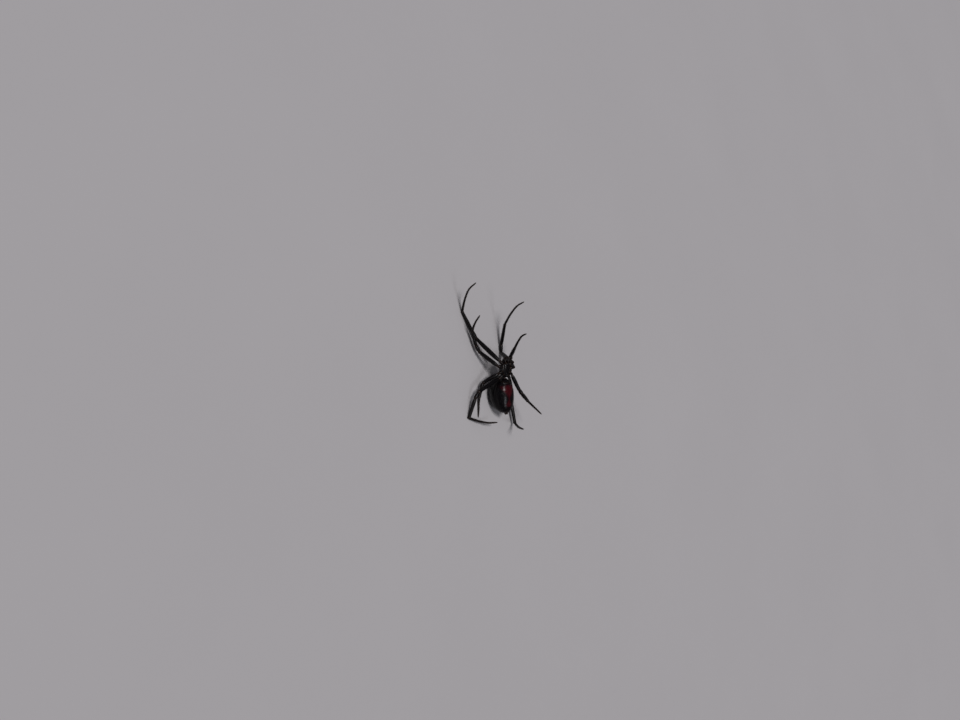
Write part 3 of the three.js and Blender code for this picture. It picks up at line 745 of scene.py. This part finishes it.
def make_stalk_and_spinnerets(skin):
    line = straight(np.array(STALK[0], float), np.array(STALK[1], float))
    t = np.linspace(0, 1, 40)
    radius = 0.215 + 0.02 * np.cos(t * 34) - 0.03 * gauss(t - 0.5, 0.2)
    grid = turned_rings(line, t * line.length, radius, 24, np.array([1.0, 0, 0]))
    skin.add("stalk", grid, (line.p[0], line.p[-1]), small_rect("stalk"), 3, brown=0.2)
    outlet, heading = silk_outlet()
    plane = unit(swung(PIVOT + np.array([1.0, 0, 0])) - PIVOT)
    up = np.cross(heading, plane)
    mound = straight(outlet - heading * 0.25, outlet + heading * 0.05)
    shell(skin, "silk_mound", mound, 0.0, mound.length, lambda s: smooth_curve(s, [0, 0.5, 1], [0.5, 0.46, 0.34]), plane, small_rect("silk_mound"), slot=1, sides=30, rings=12, lead=0.2, tail=0.5, brown=(0.3, 0.45))
    cones = (
        # name, sideways, toward the belly, radius, length
        ("front", 0.19, 0.18, 0.145, 0.4),
        ("middle", 0.08, 0.0, 0.062, 0.24),
        ("rear", 0.2, -0.18, 0.13, 0.36),
    )
    for side_name, side in SIDES:
        for name, sideways, belly, radius, length in cones:
            start = outlet + plane * side * sideways + up * belly
            end = start + heading * length - plane * side * 0.035 - up * belly * 0.25
            cone = straight(start - heading * 0.08, end)
            half = cone.length * 0.62
            shell(skin, f"spinneret_{name}_{side_name}_base", cone, 0.0, half, lambda s, r=radius: r * smooth_curve(s, [0, 0.6, 1], [1.04, 0.98, 0.86]), plane, small_rect(f"s_{name}_{side_name}"), slot=1, sides=16, rings=10, lead=0.2, lip=0.05, tail=0.4, brown=(0.3, 0.5))
            shell(skin, f"spinneret_{name}_{side_name}_end", cone, half * 1.02, cone.length, lambda s, r=radius: r * smooth_curve(s, [0, 0.5, 1], [0.72, 0.7, 0.45]), plane, small_rect(f"t_{name}_{side_name}"), slot=1, sides=16, rings=9, lead=0.3, tail=0.9, brown=(0.6, 0.8))
    # Small cone of skin between the front pair, and the mound above the hind pair.
    for name, offset, radius, length in (("colulus", (0, 0, 0.33), 0.07, 0.16), ("vent", (0, 0.02, -0.41), 0.15, 0.16)):
        start = outlet + heading * offset[1] + up * offset[2]
        cone = straight(start - heading * 0.1, start + heading * length)
        shell(skin, name, cone, 0.0, cone.length, lambda s, r=radius: r * smooth_curve(s, [0, 0.6, 1], [1.2, 0.95, 0.6]), plane, small_rect(name), slot=1, sides=16, rings=10, lead=0.2, tail=0.8, brown=(0.3, 0.55))


# A leg's strip runs along u with its rings' columns along v; this turns a surface's own unwrap for that.
class LegSkin(Surfaces):
    def add(self, name, rings, poles, rect, slot, **fields):
        if rect[0] != "turned":
            return super().add(name, rings, poles, rect, slot, **fields)
        before = len(self.corner_uv)
        u0, v0, u1, v1 = rect[1]
        super().add(name, rings, poles, (0.0, 0.0, 1.0, 1.0), slot, **fields)
        for k in range(before, len(self.corner_uv)):
            uv = self.corner_uv[k]
            self.corner_uv[k] = np.stack([u0 + (u1 - u0) * uv[:, 1], v0 + (v1 - v0) * uv[:, 0]], -1)
        self.grids[name]["rect"] = rect


skin = LegSkin()
make_trunk(skin)
make_abdomen(skin)
make_stalk_and_spinnerets(skin)
make_mouth(skin)
for side_name, side in SIDES:
    for number in (1, 2, 3, 4):
        make_leg(skin, number, side_name, side)


# ---------------------------------------------------------------- materials
def new_material(name):
    material = bpy.data.materials.new(name)
    material.use_nodes = True
    nodes, links = material.node_tree.nodes, material.node_tree.links
    return material, nodes, links, nodes["Principled BSDF"]


def node(nodes, kind, **settings):
    made = nodes.new(kind)
    for key, value in settings.items():
        setattr(made, key, value)
    return made


def attribute(nodes, name):
    return node(nodes, "ShaderNodeAttribute", attribute_type="GEOMETRY", attribute_name=name).outputs["Fac"]


def maths(nodes, links, operation, a, b=None, c=None, clamp=False):
    made = node(nodes, "ShaderNodeMath", operation=operation, use_clamp=clamp)
    for k, value in enumerate((a, b, c)):
        if value is None:
            continue
        if isinstance(value, (int, float)):
            made.inputs[k].default_value = value
        else:
            links.new(value, made.inputs[k])
    return made.outputs[0]


def noise(nodes, links, scale, detail=3.0, roughness=0.55, distortion=0.0):
    """Noise over the object, scale in cells per millimetre."""
    place = node(nodes, "ShaderNodeTexCoord").outputs["Object"]
    made = node(nodes, "ShaderNodeTexNoise")
    made.inputs["Scale"].default_value = scale / MM
    made.inputs["Detail"].default_value = detail
    made.inputs["Roughness"].default_value = roughness
    made.inputs["Distortion"].default_value = distortion
    links.new(place, made.inputs["Vector"])
    return made.outputs["Fac"]


def cells(nodes, links, scale, feature="F1"):
    place = node(nodes, "ShaderNodeTexCoord").outputs["Object"]
    made = node(nodes, "ShaderNodeTexVoronoi", feature=feature)
    made.inputs["Scale"].default_value = scale / MM
    links.new(place, made.inputs["Vector"])
    return made.outputs["Distance"]


def mix_colour(nodes, links, factor, a, b):
    made = node(nodes, "ShaderNodeMix", data_type="RGBA")
    links.new(factor, made.inputs["Factor"])
    for socket, value in ((made.inputs[6], a), (made.inputs[7], b)):
        if isinstance(value, tuple):
            socket.default_value = (*value, 1.0)
        else:
            links.new(value, socket)
    return made.outputs[2]


def ramp(nodes, links, value, low, high, out_low=0.0, out_high=1.0):
    made = node(nodes, "ShaderNodeMapRange", interpolation_type="SMOOTHSTEP")
    links.new(value, made.inputs["Value"])
    made.inputs["From Min"].default_value = low
    made.inputs["From Max"].default_value = high
    made.inputs["To Min"].default_value = out_low
    made.inputs["To Max"].default_value = out_high
    return made.outputs[0]


def bump(nodes, links, height, distance_mm, strength, normal=None):
    made = node(nodes, "ShaderNodeBump")
    made.inputs["Distance"].default_value = distance_mm * MM
    made.inputs["Strength"].default_value = strength
    links.new(height, made.inputs["Height"])
    if normal is not None:
        links.new(normal, made.inputs["Normal"])
    return made.outputs["Normal"]


BLACK, BLACK_WARM = (0.0016, 0.0011, 0.0022), (0.0036, 0.0021, 0.0034)
BROWN, BROWN_PALE = (0.055, 0.024, 0.014), (0.10, 0.055, 0.034)
RED, RED_DEEP = (0.085, 0.003, 0.008), (0.034, 0.0015, 0.0055)


def mark_mask(nodes, links):
    wobble = maths(nodes, links, "MULTIPLY_ADD", noise(nodes, links, 3.2, 4.0, 0.6), 0.16, -0.08)
    return ramp(nodes, links, maths(nodes, links, "ADD", attribute(nodes, "mark"), wobble), -0.02, 0.05)


def cuticle(name, gloss, spread, micro, pores, brown_strength=1.0, with_mark=False, coat=0.0):
    material, nodes, links, bsdf = new_material(name)
    cloud = noise(nodes, links, 1.1, 5.0, 0.6)
    base = mix_colour(nodes, links, ramp(nodes, links, cloud, 0.35, 0.7), BLACK, BLACK_WARM)
    thin = maths(nodes, links, "MULTIPLY", attribute(nodes, "brown"), brown_strength)
    grain = noise(nodes, links, 14, 3.0)
    tone = mix_colour(nodes, links, grain, BROWN, BROWN_PALE)
    base = mix_colour(nodes, links, maths(nodes, links, "MULTIPLY", thin, ramp(nodes, links, grain, 0.2, 0.7, 0.55, 1.0), clamp=True), base, tone)
    if with_mark:
        mask = mark_mask(nodes, links)
        # Deeper toward its border, with a faint warm shade just outside it.
        field = attribute(nodes, "mark")
        deep = maths(
            nodes, links, "ADD", ramp(nodes, links, field, 0.03, 0.55, 0.85, 0.0),
            ramp(nodes, links, noise(nodes, links, 2.4, 4.0), 0.35, 0.65, 0.0, 0.6), clamp=True,
        )  # fmt: skip
        base = mix_colour(nodes, links, ramp(nodes, links, field, -0.55, 0.0, 0.0, 0.75), base, (0.0075, 0.001, 0.0022))
        base = mix_colour(nodes, links, mask, base, mix_colour(nodes, links, deep, RED, RED_DEEP))
    links.new(base, bsdf.inputs["Base Color"])
    worn = noise(nodes, links, 3.0, 4.0, 0.65)
    links.new(ramp(nodes, links, worn, 0.25, 0.75, gloss, gloss + spread), bsdf.inputs["Roughness"])
    fine = bump(nodes, links, cells(nodes, links, pores), 0.004, micro)
    low = bump(nodes, links, noise(nodes, links, 5.5, 4.0, 0.6), 0.012, micro * 0.8, fine)
    links.new(low, bsdf.inputs["Normal"])
    bsdf.inputs["IOR"].default_value = 1.36
    bsdf.inputs["Coat Weight"].default_value = coat
    bsdf.inputs["Coat Roughness"].default_value = 0.12
    return material


MATERIALS = [
    cuticle("cuticle_body", 0.22, 0.12, 0.35, 22, 0.8),
    cuticle("cuticle_abdomen", 0.185, 0.12, 0.32, 17, 0.7, with_mark=True),
    cuticle("cuticle_leg", 0.24, 0.14, 0.4, 26, 1.0),
]
material, nodes, links, bsdf = new_material("joint_skin")
folds = noise(nodes, links, 16, 4.0)
links.new(mix_colour(nodes, links, folds, (0.014, 0.009, 0.008), (0.04, 0.02, 0.014)), bsdf.inputs["Base Color"])
links.new(ramp(nodes, links, folds, 0.2, 0.8, 0.35, 0.55), bsdf.inputs["Roughness"])
links.new(bump(nodes, links, folds, 0.012, 0.5), bsdf.inputs["Normal"])
MATERIALS.append(material)

body = skin.build("spider_skin", MATERIALS)
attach(body, "root")
flesh = sorted(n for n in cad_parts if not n.startswith("eye_"))
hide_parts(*flesh)


# ---------------------------------------------------------------- eyes, fangs and claws
def simple_object(name, points, faces, material, smooth=True):
    mesh = bpy.data.meshes.new(name)
    mesh.from_pydata([tuple(p) for p in to_row(points)], [], [tuple(int(k) for k in f) for f in faces])
    mesh.validate()
    mesh.update()
    if smooth:
        mesh.shade_smooth()
    mesh.materials.append(material)
    made = bpy.data.objects.new(name, mesh)
    bpy.context.scene.collection.objects.link(made)
    return made


def closed_grid(rings, poles, offset=0):
    n, m, _ = rings.shape
    points = np.concatenate([rings.reshape(-1, 3), poles])
    faces = []
    for i in range(n - 1):
        for j in range(m):
            k = (j + 1) % m
            faces.append((i * m + j, i * m + k, (i + 1) * m + k, (i + 1) * m + j))
    for j in range(m):
        faces.append((n * m, (j + 1) % m, j))
        faces.append((n * m + 1, (n - 1) * m + j, (n - 1) * m + (j + 1) % m))
    p = points - points.mean(0)
    volume = sum(p[f[0]] @ np.cross(p[f[1]], p[f[2]]) for f in faces[: (n - 1) * m])
    if volume < 0:
        faces = [f[::-1] for f in faces]
    return points, [tuple(k + offset for k in f) for f in faces]


material, nodes, links, bsdf = new_material("eye_lens")
shade = noise(nodes, links, 9, 3.0)
links.new(mix_colour(nodes, links, shade, (0.006, 0.006, 0.008), (0.022, 0.016, 0.016)), bsdf.inputs["Base Color"])
links.new(ramp(nodes, links, shade, 0.2, 0.8, 0.03, 0.07), bsdf.inputs["Roughness"])
bsdf.inputs["IOR"].default_value = 1.58
bsdf.inputs["Coat Weight"].default_value = 1.0
bsdf.inputs["Coat Roughness"].default_value = 0.02
EYE = material
for side_name, side in SIDES:
    for kind, (y, degrees, radius) in EYES.items():
        angle = side * math.radians(degrees)
        centre = body_point(y, angle, -0.015)
        out = unit(body_point(y, angle, 0.2) - body_point(y, angle, -0.3) + np.array([0, 0.22, 0]))
        a = unit(np.cross(out, [0.2, 0.9, 0.4]))
        b = np.cross(out, a)
        q = np.linspace(0, math.pi, 26)[1:-1]
        phi = np.arange(32) / 32 * 2 * np.pi
        # A lens: a round ball with a shallow step where it meets the cuticle.
        rise = np.cos(q)
        r = np.sin(q) * (1 - 0.06 * gauss(rise - 0.22, 0.09))
        grid = centre + radius * (rise[:, None, None] * out + r[:, None, None] * (np.cos(phi)[None, :, None] * a + np.sin(phi)[None, :, None] * b))
        points, faces = closed_grid(grid, np.array([centre + out * radius, centre - out * radius]))
        eye = simple_object(f"eye_lens_{kind}_{side_name}", points, faces, EYE)
        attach(eye, "root")
        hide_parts(f"eye_{kind}_{side_name}")

material, nodes, links, bsdf = new_material("claw_horn")
grain = noise(nodes, links, 20, 3.0)
links.new(mix_colour(nodes, links, grain, (0.035, 0.009, 0.005), (0.012, 0.005, 0.004)), bsdf.inputs["Base Color"])
links.new(ramp(nodes, links, grain, 0.2, 0.8, 0.12, 0.25), bsdf.inputs["Roughness"])
links.new(bump(nodes, links, noise(nodes, links, 40, 2.0), 0.002, 0.3), bsdf.inputs["Normal"])
CLAW = material


def horn(path, radii, sides=12):
    line = Line(catmull(path, 14))
    t = np.linspace(0, 1, len(radii) * 4)
    r = smooth_curve(t, np.linspace(0, 1, len(radii)), radii)
    bend = unit(np.cross(np.array(path[1]) - path[0], np.array(path[-1]) - path[1]) + 1e-9)
    rings = turned_rings(line, t * line.length, r, sides, bend)
    return rings, np.array([line.p[0] - line.t[0] * radii[0] * 0.4, line.p[-1]])


def joined(name, parts, material):
    points, faces, count = [], [], 0
    for rings, poles in parts:
        p, f = closed_grid(rings, poles, count)
        points.append(p)
        faces += f
        count += len(p)
    made = simple_object(name, np.concatenate(points), faces, material)
    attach(made, "root")
    return made


fangs = []
for _, side in SIDES:
    start = np.array([side * 0.33, 1.52, 1.3])
    fangs.append(
        horn(
            [start, start + [-side * 0.03, 0.03, 0.13], start + [-side * 0.13, 0.02, 0.2], start + [-side * 0.25, -0.05, 0.17]],
            [0.062, 0.055, 0.036, 0.008],
        )
    )
joined("fangs", fangs, CLAW)

claws = []
for leg, made in LEG_LINES_MADE.items():
    line, plane, r = made["end"], made["plane"], made["sizes"]["tip"]
    point, heading = line.at(np.array([line.length - 0.03]))
    point, heading = point[0], heading[0]
    ventral = unit(np.cross(plane, heading))
    size = 0.15 if made["number"] else 0.11
    spread = (-0.4, 0.4) if made["number"] else (0.0,)
    for k in spread:
        base = point + heading * r * 0.75 + plane * k * r * 0.6 - ventral * r * 0.2
        claws.append(
            horn(
                [base, base + heading * size * 0.5 + plane * k * size * 0.12, base + heading * size * 0.86 + ventral * size * 0.24, base + heading * size * 0.9 + ventral * size * 0.62],
                [0.02, 0.018, 0.012, 0.003], 8,
            )
        )  # fmt: skip
    if made["number"]:
        base = point + heading * r * 0.7 + ventral * r * 0.35
        claws.append(horn([base, base + heading * size * 0.3, base + heading * size * 0.46 + ventral * size * 0.2], [0.014, 0.011, 0.003], 8))
joined("tarsal_claws", claws, CLAW)


# ---------------------------------------------------------------- bristles
def seta_material():
    material, nodes, links, bsdf = new_material("seta")
    tone = noise(nodes, links, 6, 3.0)
    base = mix_colour(nodes, links, tone, (0.008, 0.006, 0.006), (0.026, 0.018, 0.015))
    base = mix_colour(nodes, links, mark_mask(nodes, links), base, (0.09, 0.008, 0.009))
    links.new(base, bsdf.inputs["Base Color"])
    links.new(ramp(nodes, links, tone, 0.2, 0.8, 0.34, 0.5), bsdf.inputs["Roughness"])
    bsdf.inputs["IOR"].default_value = 1.54
    return material


SETA = seta_material()


class Bristles:
    """Fine tapered hairs, each a thin three-sided solid rooted in the skin and lying along the limb."""

    def __init__(self, seed):
        self.rng = np.random.default_rng(seed)
        self.roots, self.normals, self.alongs, self.lengths, self.thick, self.lift, self.uv, self.mark, self.curl = ([] for _ in range(9))

    def sow(self, grid, count, length, thick, lift=(18, 38), rows=None, density=None, sway=14.0, curl=0.35, length_at=None, reverse=False):
        rings, normal, along = grid["rings"], grid["normal"], grid["along"]
        n, m, _ = rings.shape
        low, high = rows if rows else grid.get("span", (1, n - 2))
        high = min(high, n - 1)
        a = rings[low:high]
        b = np.roll(a, -1, 1)
        c = rings[low + 1 : high + 1]
        area = np.linalg.norm(np.cross(b - a, c - a), axis=-1)
        if density is not None:
            area = area * density[low:high]
        chance = np.cumsum(area.reshape(-1))
        if chance[-1] <= 0:
            return
        pick = (np.arange(count) + self.rng.random(count)) / count * chance[-1]
        cell = np.minimum(np.searchsorted(chance, pick), area.size - 1)
        i, j = cell // m + low, cell % m
        f, g = self.rng.random(count), self.rng.random(count)
        k = (j + 1) % m

        def blend(x):
            f_, g_ = (f, g) if x.ndim == 2 else (f[:, None], g[:, None])
            return (x[i, j] * (1 - f_) + x[i + 1, j] * f_) * (1 - g_) + (x[i, k] * (1 - f_) + x[i + 1, k] * f_) * g_

        p, nrm, tan = blend(rings), unit(blend(normal)), unit(blend(along))
        if reverse:
            tan = -tan
        size = self.rng.uniform(*length, count)
        if length_at is not None:
            size = size * blend(length_at)
        self.roots.append(p - nrm * 0.012)
        self.normals.append(nrm)
        swing = np.radians(self.rng.normal(0, sway, count))[:, None]
        side = np.cross(nrm, tan)
        self.alongs.append(unit(tan * np.cos(swing) + side * np.sin(swing)))
        self.lengths.append(size)
        self.thick.append(self.rng.uniform(*thick, count))
        self.lift.append(np.radians(self.rng.uniform(*lift, count)))
        self.curl.append(np.full(count, curl) * self.rng.uniform(0.6, 1.3, count))
        self.mark.append(blend(np.asarray(grid["mark"])))
        col, line = (j + g) / m, (i + f + 1) / (n + 1)
        rect = grid["rect"]
        if rect[0] == "turned":
            u0, v0, u1, v1 = rect[1]
            self.uv.append(np.stack([u0 + (u1 - u0) * line, v0 + (v1 - v0) * col], -1))
        else:
            u0, v0, u1, v1 = rect
            self.uv.append(np.stack([u0 + (u1 - u0) * col, v0 + (v1 - v0) * line], -1))

    def place(self, point, normal, along, length, thick, lift_deg, uv, curl=0.3):
        """One bristle put where it is known to stand."""
        self.roots.append(np.array([point]))
        self.normals.append(unit(np.array([normal])))
        self.alongs.append(unit(np.array([along])))
        self.lengths.append(np.array([length]))
        self.thick.append(np.array([thick]))
        self.lift.append(np.radians(np.array([lift_deg])))
        self.curl.append(np.array([curl]))
        self.mark.append(np.array([-9.0]))
        self.uv.append(np.array([uv]))

    def build(self, name):
        join = np.concatenate
        root, normal, along = join(self.roots), join(self.normals), join(self.alongs)
        length, thick, lift, uv, mark, curl = (join(x) for x in (self.lengths, self.thick, self.lift, self.uv, self.mark, self.curl))
        count = len(root)
        heading = unit(along * np.cos(lift)[:, None] + normal * np.sin(lift)[:, None])
        bend = along - heading * np.sum(along * heading, 1, keepdims=True)
        t = np.array([0.0, 0.38, 0.74])
        grow = np.array([1.0, 0.82, 0.5])
        side = unit(np.cross(heading, normal))
        up = np.cross(side, heading)
        phi = np.arange(3) / 3 * 2 * np.pi
        points, uvs = [], []
        for k in range(3):
            centre = root + heading * (length * t[k])[:, None] + bend * (length * curl * t[k] ** 2)[:, None]
            for q in range(3):
                points.append(centre + (thick * grow[k])[:, None] * (math.cos(phi[q]) * side + math.sin(phi[q]) * up))
                uvs.append(uv + 0.003 * np.array([t[k] - 0.5, q / 3 - 0.34]))
        points.append(root + heading * length[:, None] + bend * (length * curl)[:, None])
        uvs.append(uv + 0.003 * np.array([0.5, 0.0]))
        points = np.stack(points, 1).reshape(-1, 3)
        uvs = np.stack(uvs, 1).reshape(-1, 2)
        tris = [(0, 2, 1)]
        for k in range(2):
            for q in range(3):
                a, b = k * 3 + q, k * 3 + (q + 1) % 3
                tris += [(a, b, b + 3), (a, b + 3, a + 3)]
        tris += [(6, 7, 9), (7, 8, 9), (8, 6, 9)]
        tris = np.array(tris)
        faces = (tris[None] + 10 * np.arange(count)[:, None, None]).reshape(-1, 3)
        row = to_row(points)
        row[:, 2] = np.maximum(row[:, 2], 0.004 * MM)
        mesh = bpy.data.meshes.new(name)
        mesh.vertices.add(len(row))
        mesh.vertices.foreach_set("co", row.astype(np.float32).reshape(-1))
        mesh.loops.add(faces.size)
        mesh.loops.foreach_set("vertex_index", faces.astype(np.int32).reshape(-1))
        mesh.polygons.add(len(faces))
        mesh.polygons.foreach_set("loop_start", (np.arange(len(faces)) * 3).astype(np.int32))
        layer = mesh.uv_layers.new(name="OFBake")
        layer.data.foreach_set("uv", uvs[faces.reshape(-1)].astype(np.float32).reshape(-1))
        field = mesh.attributes.new("mark", "FLOAT", "POINT")
        field.data.foreach_set("value", np.repeat(mark, 10).astype(np.float32))
        mesh.update(calc_edges=True)
        mesh.shade_smooth()
        mesh.materials.append(SETA)
        made = bpy.data.objects.new(name, mesh)
        bpy.context.scene.collection.objects.link(made)
        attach(made, "root")
        print(name, "bristles", count, "triangles", len(faces))
        return made


LEG_COAT = {  # per segment: hairs per mm of length at leg 1, lengths in mm
    "coxa": (85, (0.1, 0.2)),
    "trochanter": (60, (0.08, 0.14)),
    "femur": (105, (0.14, 0.3)),
    "patella": (125, (0.16, 0.32)),
    "tibia": (150, (0.18, 0.36)),
    "metatarsus": (150, (0.16, 0.34)),
    "tarsus": (165, (0.12, 0.26)),
}
for number in (1, 2, 3, 4):
    coat = Bristles(40 + number)
    for side_name, side in SIDES:
        leg = f"leg_{number}_{side_name}"
        for part, (per_mm, length) in LEG_COAT.items():
            grid = skin.grids[f"{leg}_{part}"]
            coat.sow(grid, max(8, int(per_mm * grid["length"] * (1.3 if number in (2, 3) else 1.0))), length, (0.0065, 0.0105), lift=(16, 36))
        # Fine upright sensing hairs on tibia and metatarsus, and one stout bristle on the patella's and tibia's back.
        for part, places in (("tibia", (0.12, 0.2, 0.29, 0.38, 0.5)), ("metatarsus", (0.3, 0.42))):
            grid = skin.grids[f"{leg}_{part}"]
            low, high = grid["span"]
            for k, place in enumerate(places):
                i = int(low + (high - low) * place)
                m = grid["rings"].shape[1]
                j = (k * 2 - 1) % m
                coat.place(grid["rings"][i, j], grid["normal"][i, j], grid["along"][i, j], 0.42, 0.0045, 74, (0.5, 0.5), 0.12)
        for part, places in (("patella", (0.86,)), ("tibia", (0.32, 0.74))):
            grid = skin.grids[f"{leg}_{part}"]
            low, high = grid["span"]
            for place in places:
                i = int(low + (high - low) * place)
                coat.place(grid["rings"][i, 0], grid["normal"][i, 0], grid["along"][i, 0], 0.5, 0.011, 52, (0.5, 0.5), 0.25)
        if number == 4:  # the comb of curved bristles under the last foot
            grid = skin.grids[f"{leg}_tarsus"]
            low, high = grid["span"]
            m = grid["rings"].shape[1]
            for k in range(10):
                i = int(low + (high - low) * (0.12 + 0.08 * k))
                j = m // 2
                coat.place(grid["rings"][i, j], grid["normal"][i, j], grid["along"][i, j], 0.26, 0.013, 34, (0.5, 0.5), 0.6)
    coat.build(f"setae_legs_{number}")

coat = Bristles(51)
coat.sow(skin.grids["abdomen"], 8200, (0.12, 0.23), (0.0045, 0.0075), lift=(14, 30), rows=(4, 140), curl=0.5, sway=20)
coat.sow(skin.grids["abdomen"], 420, (0.28, 0.42), (0.006, 0.009), lift=(32, 55), rows=(6, 142), curl=0.4, sway=20)
for name, count in (("spinneret_front", 46), ("spinneret_rear", 42), ("spinneret_middle", 14)):
    for side_name, _ in SIDES:
        for end, share, long in (("base", 0.6, (0.09, 0.16)), ("end", 0.4, (0.06, 0.12))):
            coat.sow(skin.grids[f"{name}_{side_name}_{end}"], int(count * share), long, (0.0045, 0.007), lift=(20, 45))
coat.sow(skin.grids["vent"], 40, (0.08, 0.16), (0.0045, 0.007))
coat.build("setae_abdomen")

coat = Bristles(61)
trunk = skin.grids["trunk"]
rings = trunk["rings"]
angle = np.arange(rings.shape[1]) / rings.shape[1] * 2 * np.pi
c = np.cos(angle)[None, :]
belly = step(-c, 0.2, 0.6) * step(rings[..., 1], -1.6, -1.3) * (1 - step(rings[..., 1], 0.6, 0.9)) * (1 - step(np.abs(rings[..., 0]), 0.6, 0.8))
back = step(c, 0.1, 0.4) * (0.35 + step(rings[..., 1], 0.2, 0.9))
coat.sow(trunk, 520, (0.14, 0.26), (0.006, 0.009), lift=(24, 46), density=belly + 0.0, reverse=False)
coat.sow(trunk, 620, (0.07, 0.15), (0.005, 0.008), lift=(14, 34), density=back, reverse=True)
for side_name, _ in SIDES:
    coat.sow(skin.grids[f"chelicera_{side_name}"], 150, (0.09, 0.2), (0.005, 0.009), lift=(22, 46))
    for part, count, long in (("base", 20, (0.1, 0.16)), ("femur", 90, (0.1, 0.2)), ("patella", 50, (0.12, 0.22)), ("tibia", 90, (0.14, 0.26)), ("tarsus", 190, (0.14, 0.28))):
        coat.sow(skin.grids[f"palp_{side_name}_{part}"], count, long, (0.0055, 0.0095), lift=(20, 42))
    coat.sow(skin.grids[f"lobe_{side_name}"], 110, (0.07, 0.15), (0.005, 0.008), lift=(30, 60), reverse=True)
coat.sow(skin.grids["lip"], 40, (0.07, 0.14), (0.005, 0.008), reverse=True)
coat.build("setae_trunk")


# ---------------------------------------------------------------- floor, light and camera
def plane_object(name, half, z):
    mesh = bpy.data.meshes.new(name)
    mesh.from_pydata([(-half, -half, z), (half, -half, z), (half, half, z), (-half, half, z)], [], [(0, 1, 2, 3)])
    mesh.update()
    made = bpy.data.objects.new(name, mesh)
    bpy.context.scene.collection.objects.link(made)
    return made


floor = plane_object("floor", 2.5, -0.00001)
material, nodes, links, bsdf = new_material("pale_floor")
links.new(mix_colour(nodes, links, noise(nodes, links, 0.02, 4.0), (0.605, 0.588, 0.597), (0.635, 0.618, 0.627)), bsdf.inputs["Base Color"])
links.new(ramp(nodes, links, noise(nodes, links, 0.6, 4.0), 0.2, 0.8, 0.75, 0.9), bsdf.inputs["Roughness"])
links.new(bump(nodes, links, noise(nodes, links, 1.5, 5.0), 0.02, 0.15), bsdf.inputs["Normal"])
floor.data.materials.append(material)

# The camera looks from where the photograph was taken, given in the body frame.
CAMERA_AT = np.array([-131.9342, 1.3307, 178.9019])
CAMERA_RIGHT = np.array([0.81716, 0.06976, 0.57218])
CAMERA_UP = np.array([-0.05714, 0.99756, -0.04001])
CAMERA_BACK = np.array([-0.57358, 0.0, 0.81915])
right, up, back = (unit(turned(v)) for v in (CAMERA_RIGHT, CAMERA_UP, CAMERA_BACK))
eye_point = to_row(CAMERA_AT)
camera_data = bpy.data.cameras.new("camera")
camera_data.lens, camera_data.sensor_width, camera_data.sensor_fit = 40.0, 36.0, "HORIZONTAL"
camera_data.clip_start, camera_data.clip_end = 0.002, 20.0
camera = bpy.data.objects.new("camera", camera_data)
bpy.context.scene.collection.objects.link(camera)
camera.matrix_world = Matrix(
    [[right[k], up[k], back[k], eye_point[k]] for k in range(3)] + [[0, 0, 0, 1]]
)
bpy.context.scene.camera = camera

def sun(name, seen_from_camera, strength, angle, colour):
    """A distant soft light in a direction given as right, up and toward the camera of the picture."""
    a, b, c = seen_from_camera
    toward = unit(a * right + b * up + c * back)
    data = bpy.data.lights.new(name, "SUN")
    data.energy, data.angle, data.color = strength, math.radians(angle), colour
    made = bpy.data.objects.new(name, data)
    bpy.context.scene.collection.objects.link(made)
    made.location = toward
    made.rotation_euler = Vector(toward).to_track_quat("Z", "Y").to_euler()
    return made


sun("key", (0.41, 0.2, 0.89), 1.48, 15.0, (1.0, 0.985, 0.99))
sun("fill", (0.58, -0.34, 0.74), 0.36, 14.0, (0.93, 0.95, 1.0))
world = bpy.data.worlds.new("studio")
bpy.context.scene.world = world
world.use_nodes = True
world.node_tree.nodes["Background"].inputs["Color"].default_value = (0.95, 0.93, 1.0, 1.0)
world.node_tree.nodes["Background"].inputs["Strength"].default_value = 0.13
bpy.context.scene.view_settings.view_transform = "Standard"
bpy.context.scene.view_settings.gamma = 0.88

print("skin triangles", sum(len(p.vertices) - 2 for p in body.data.polygons))
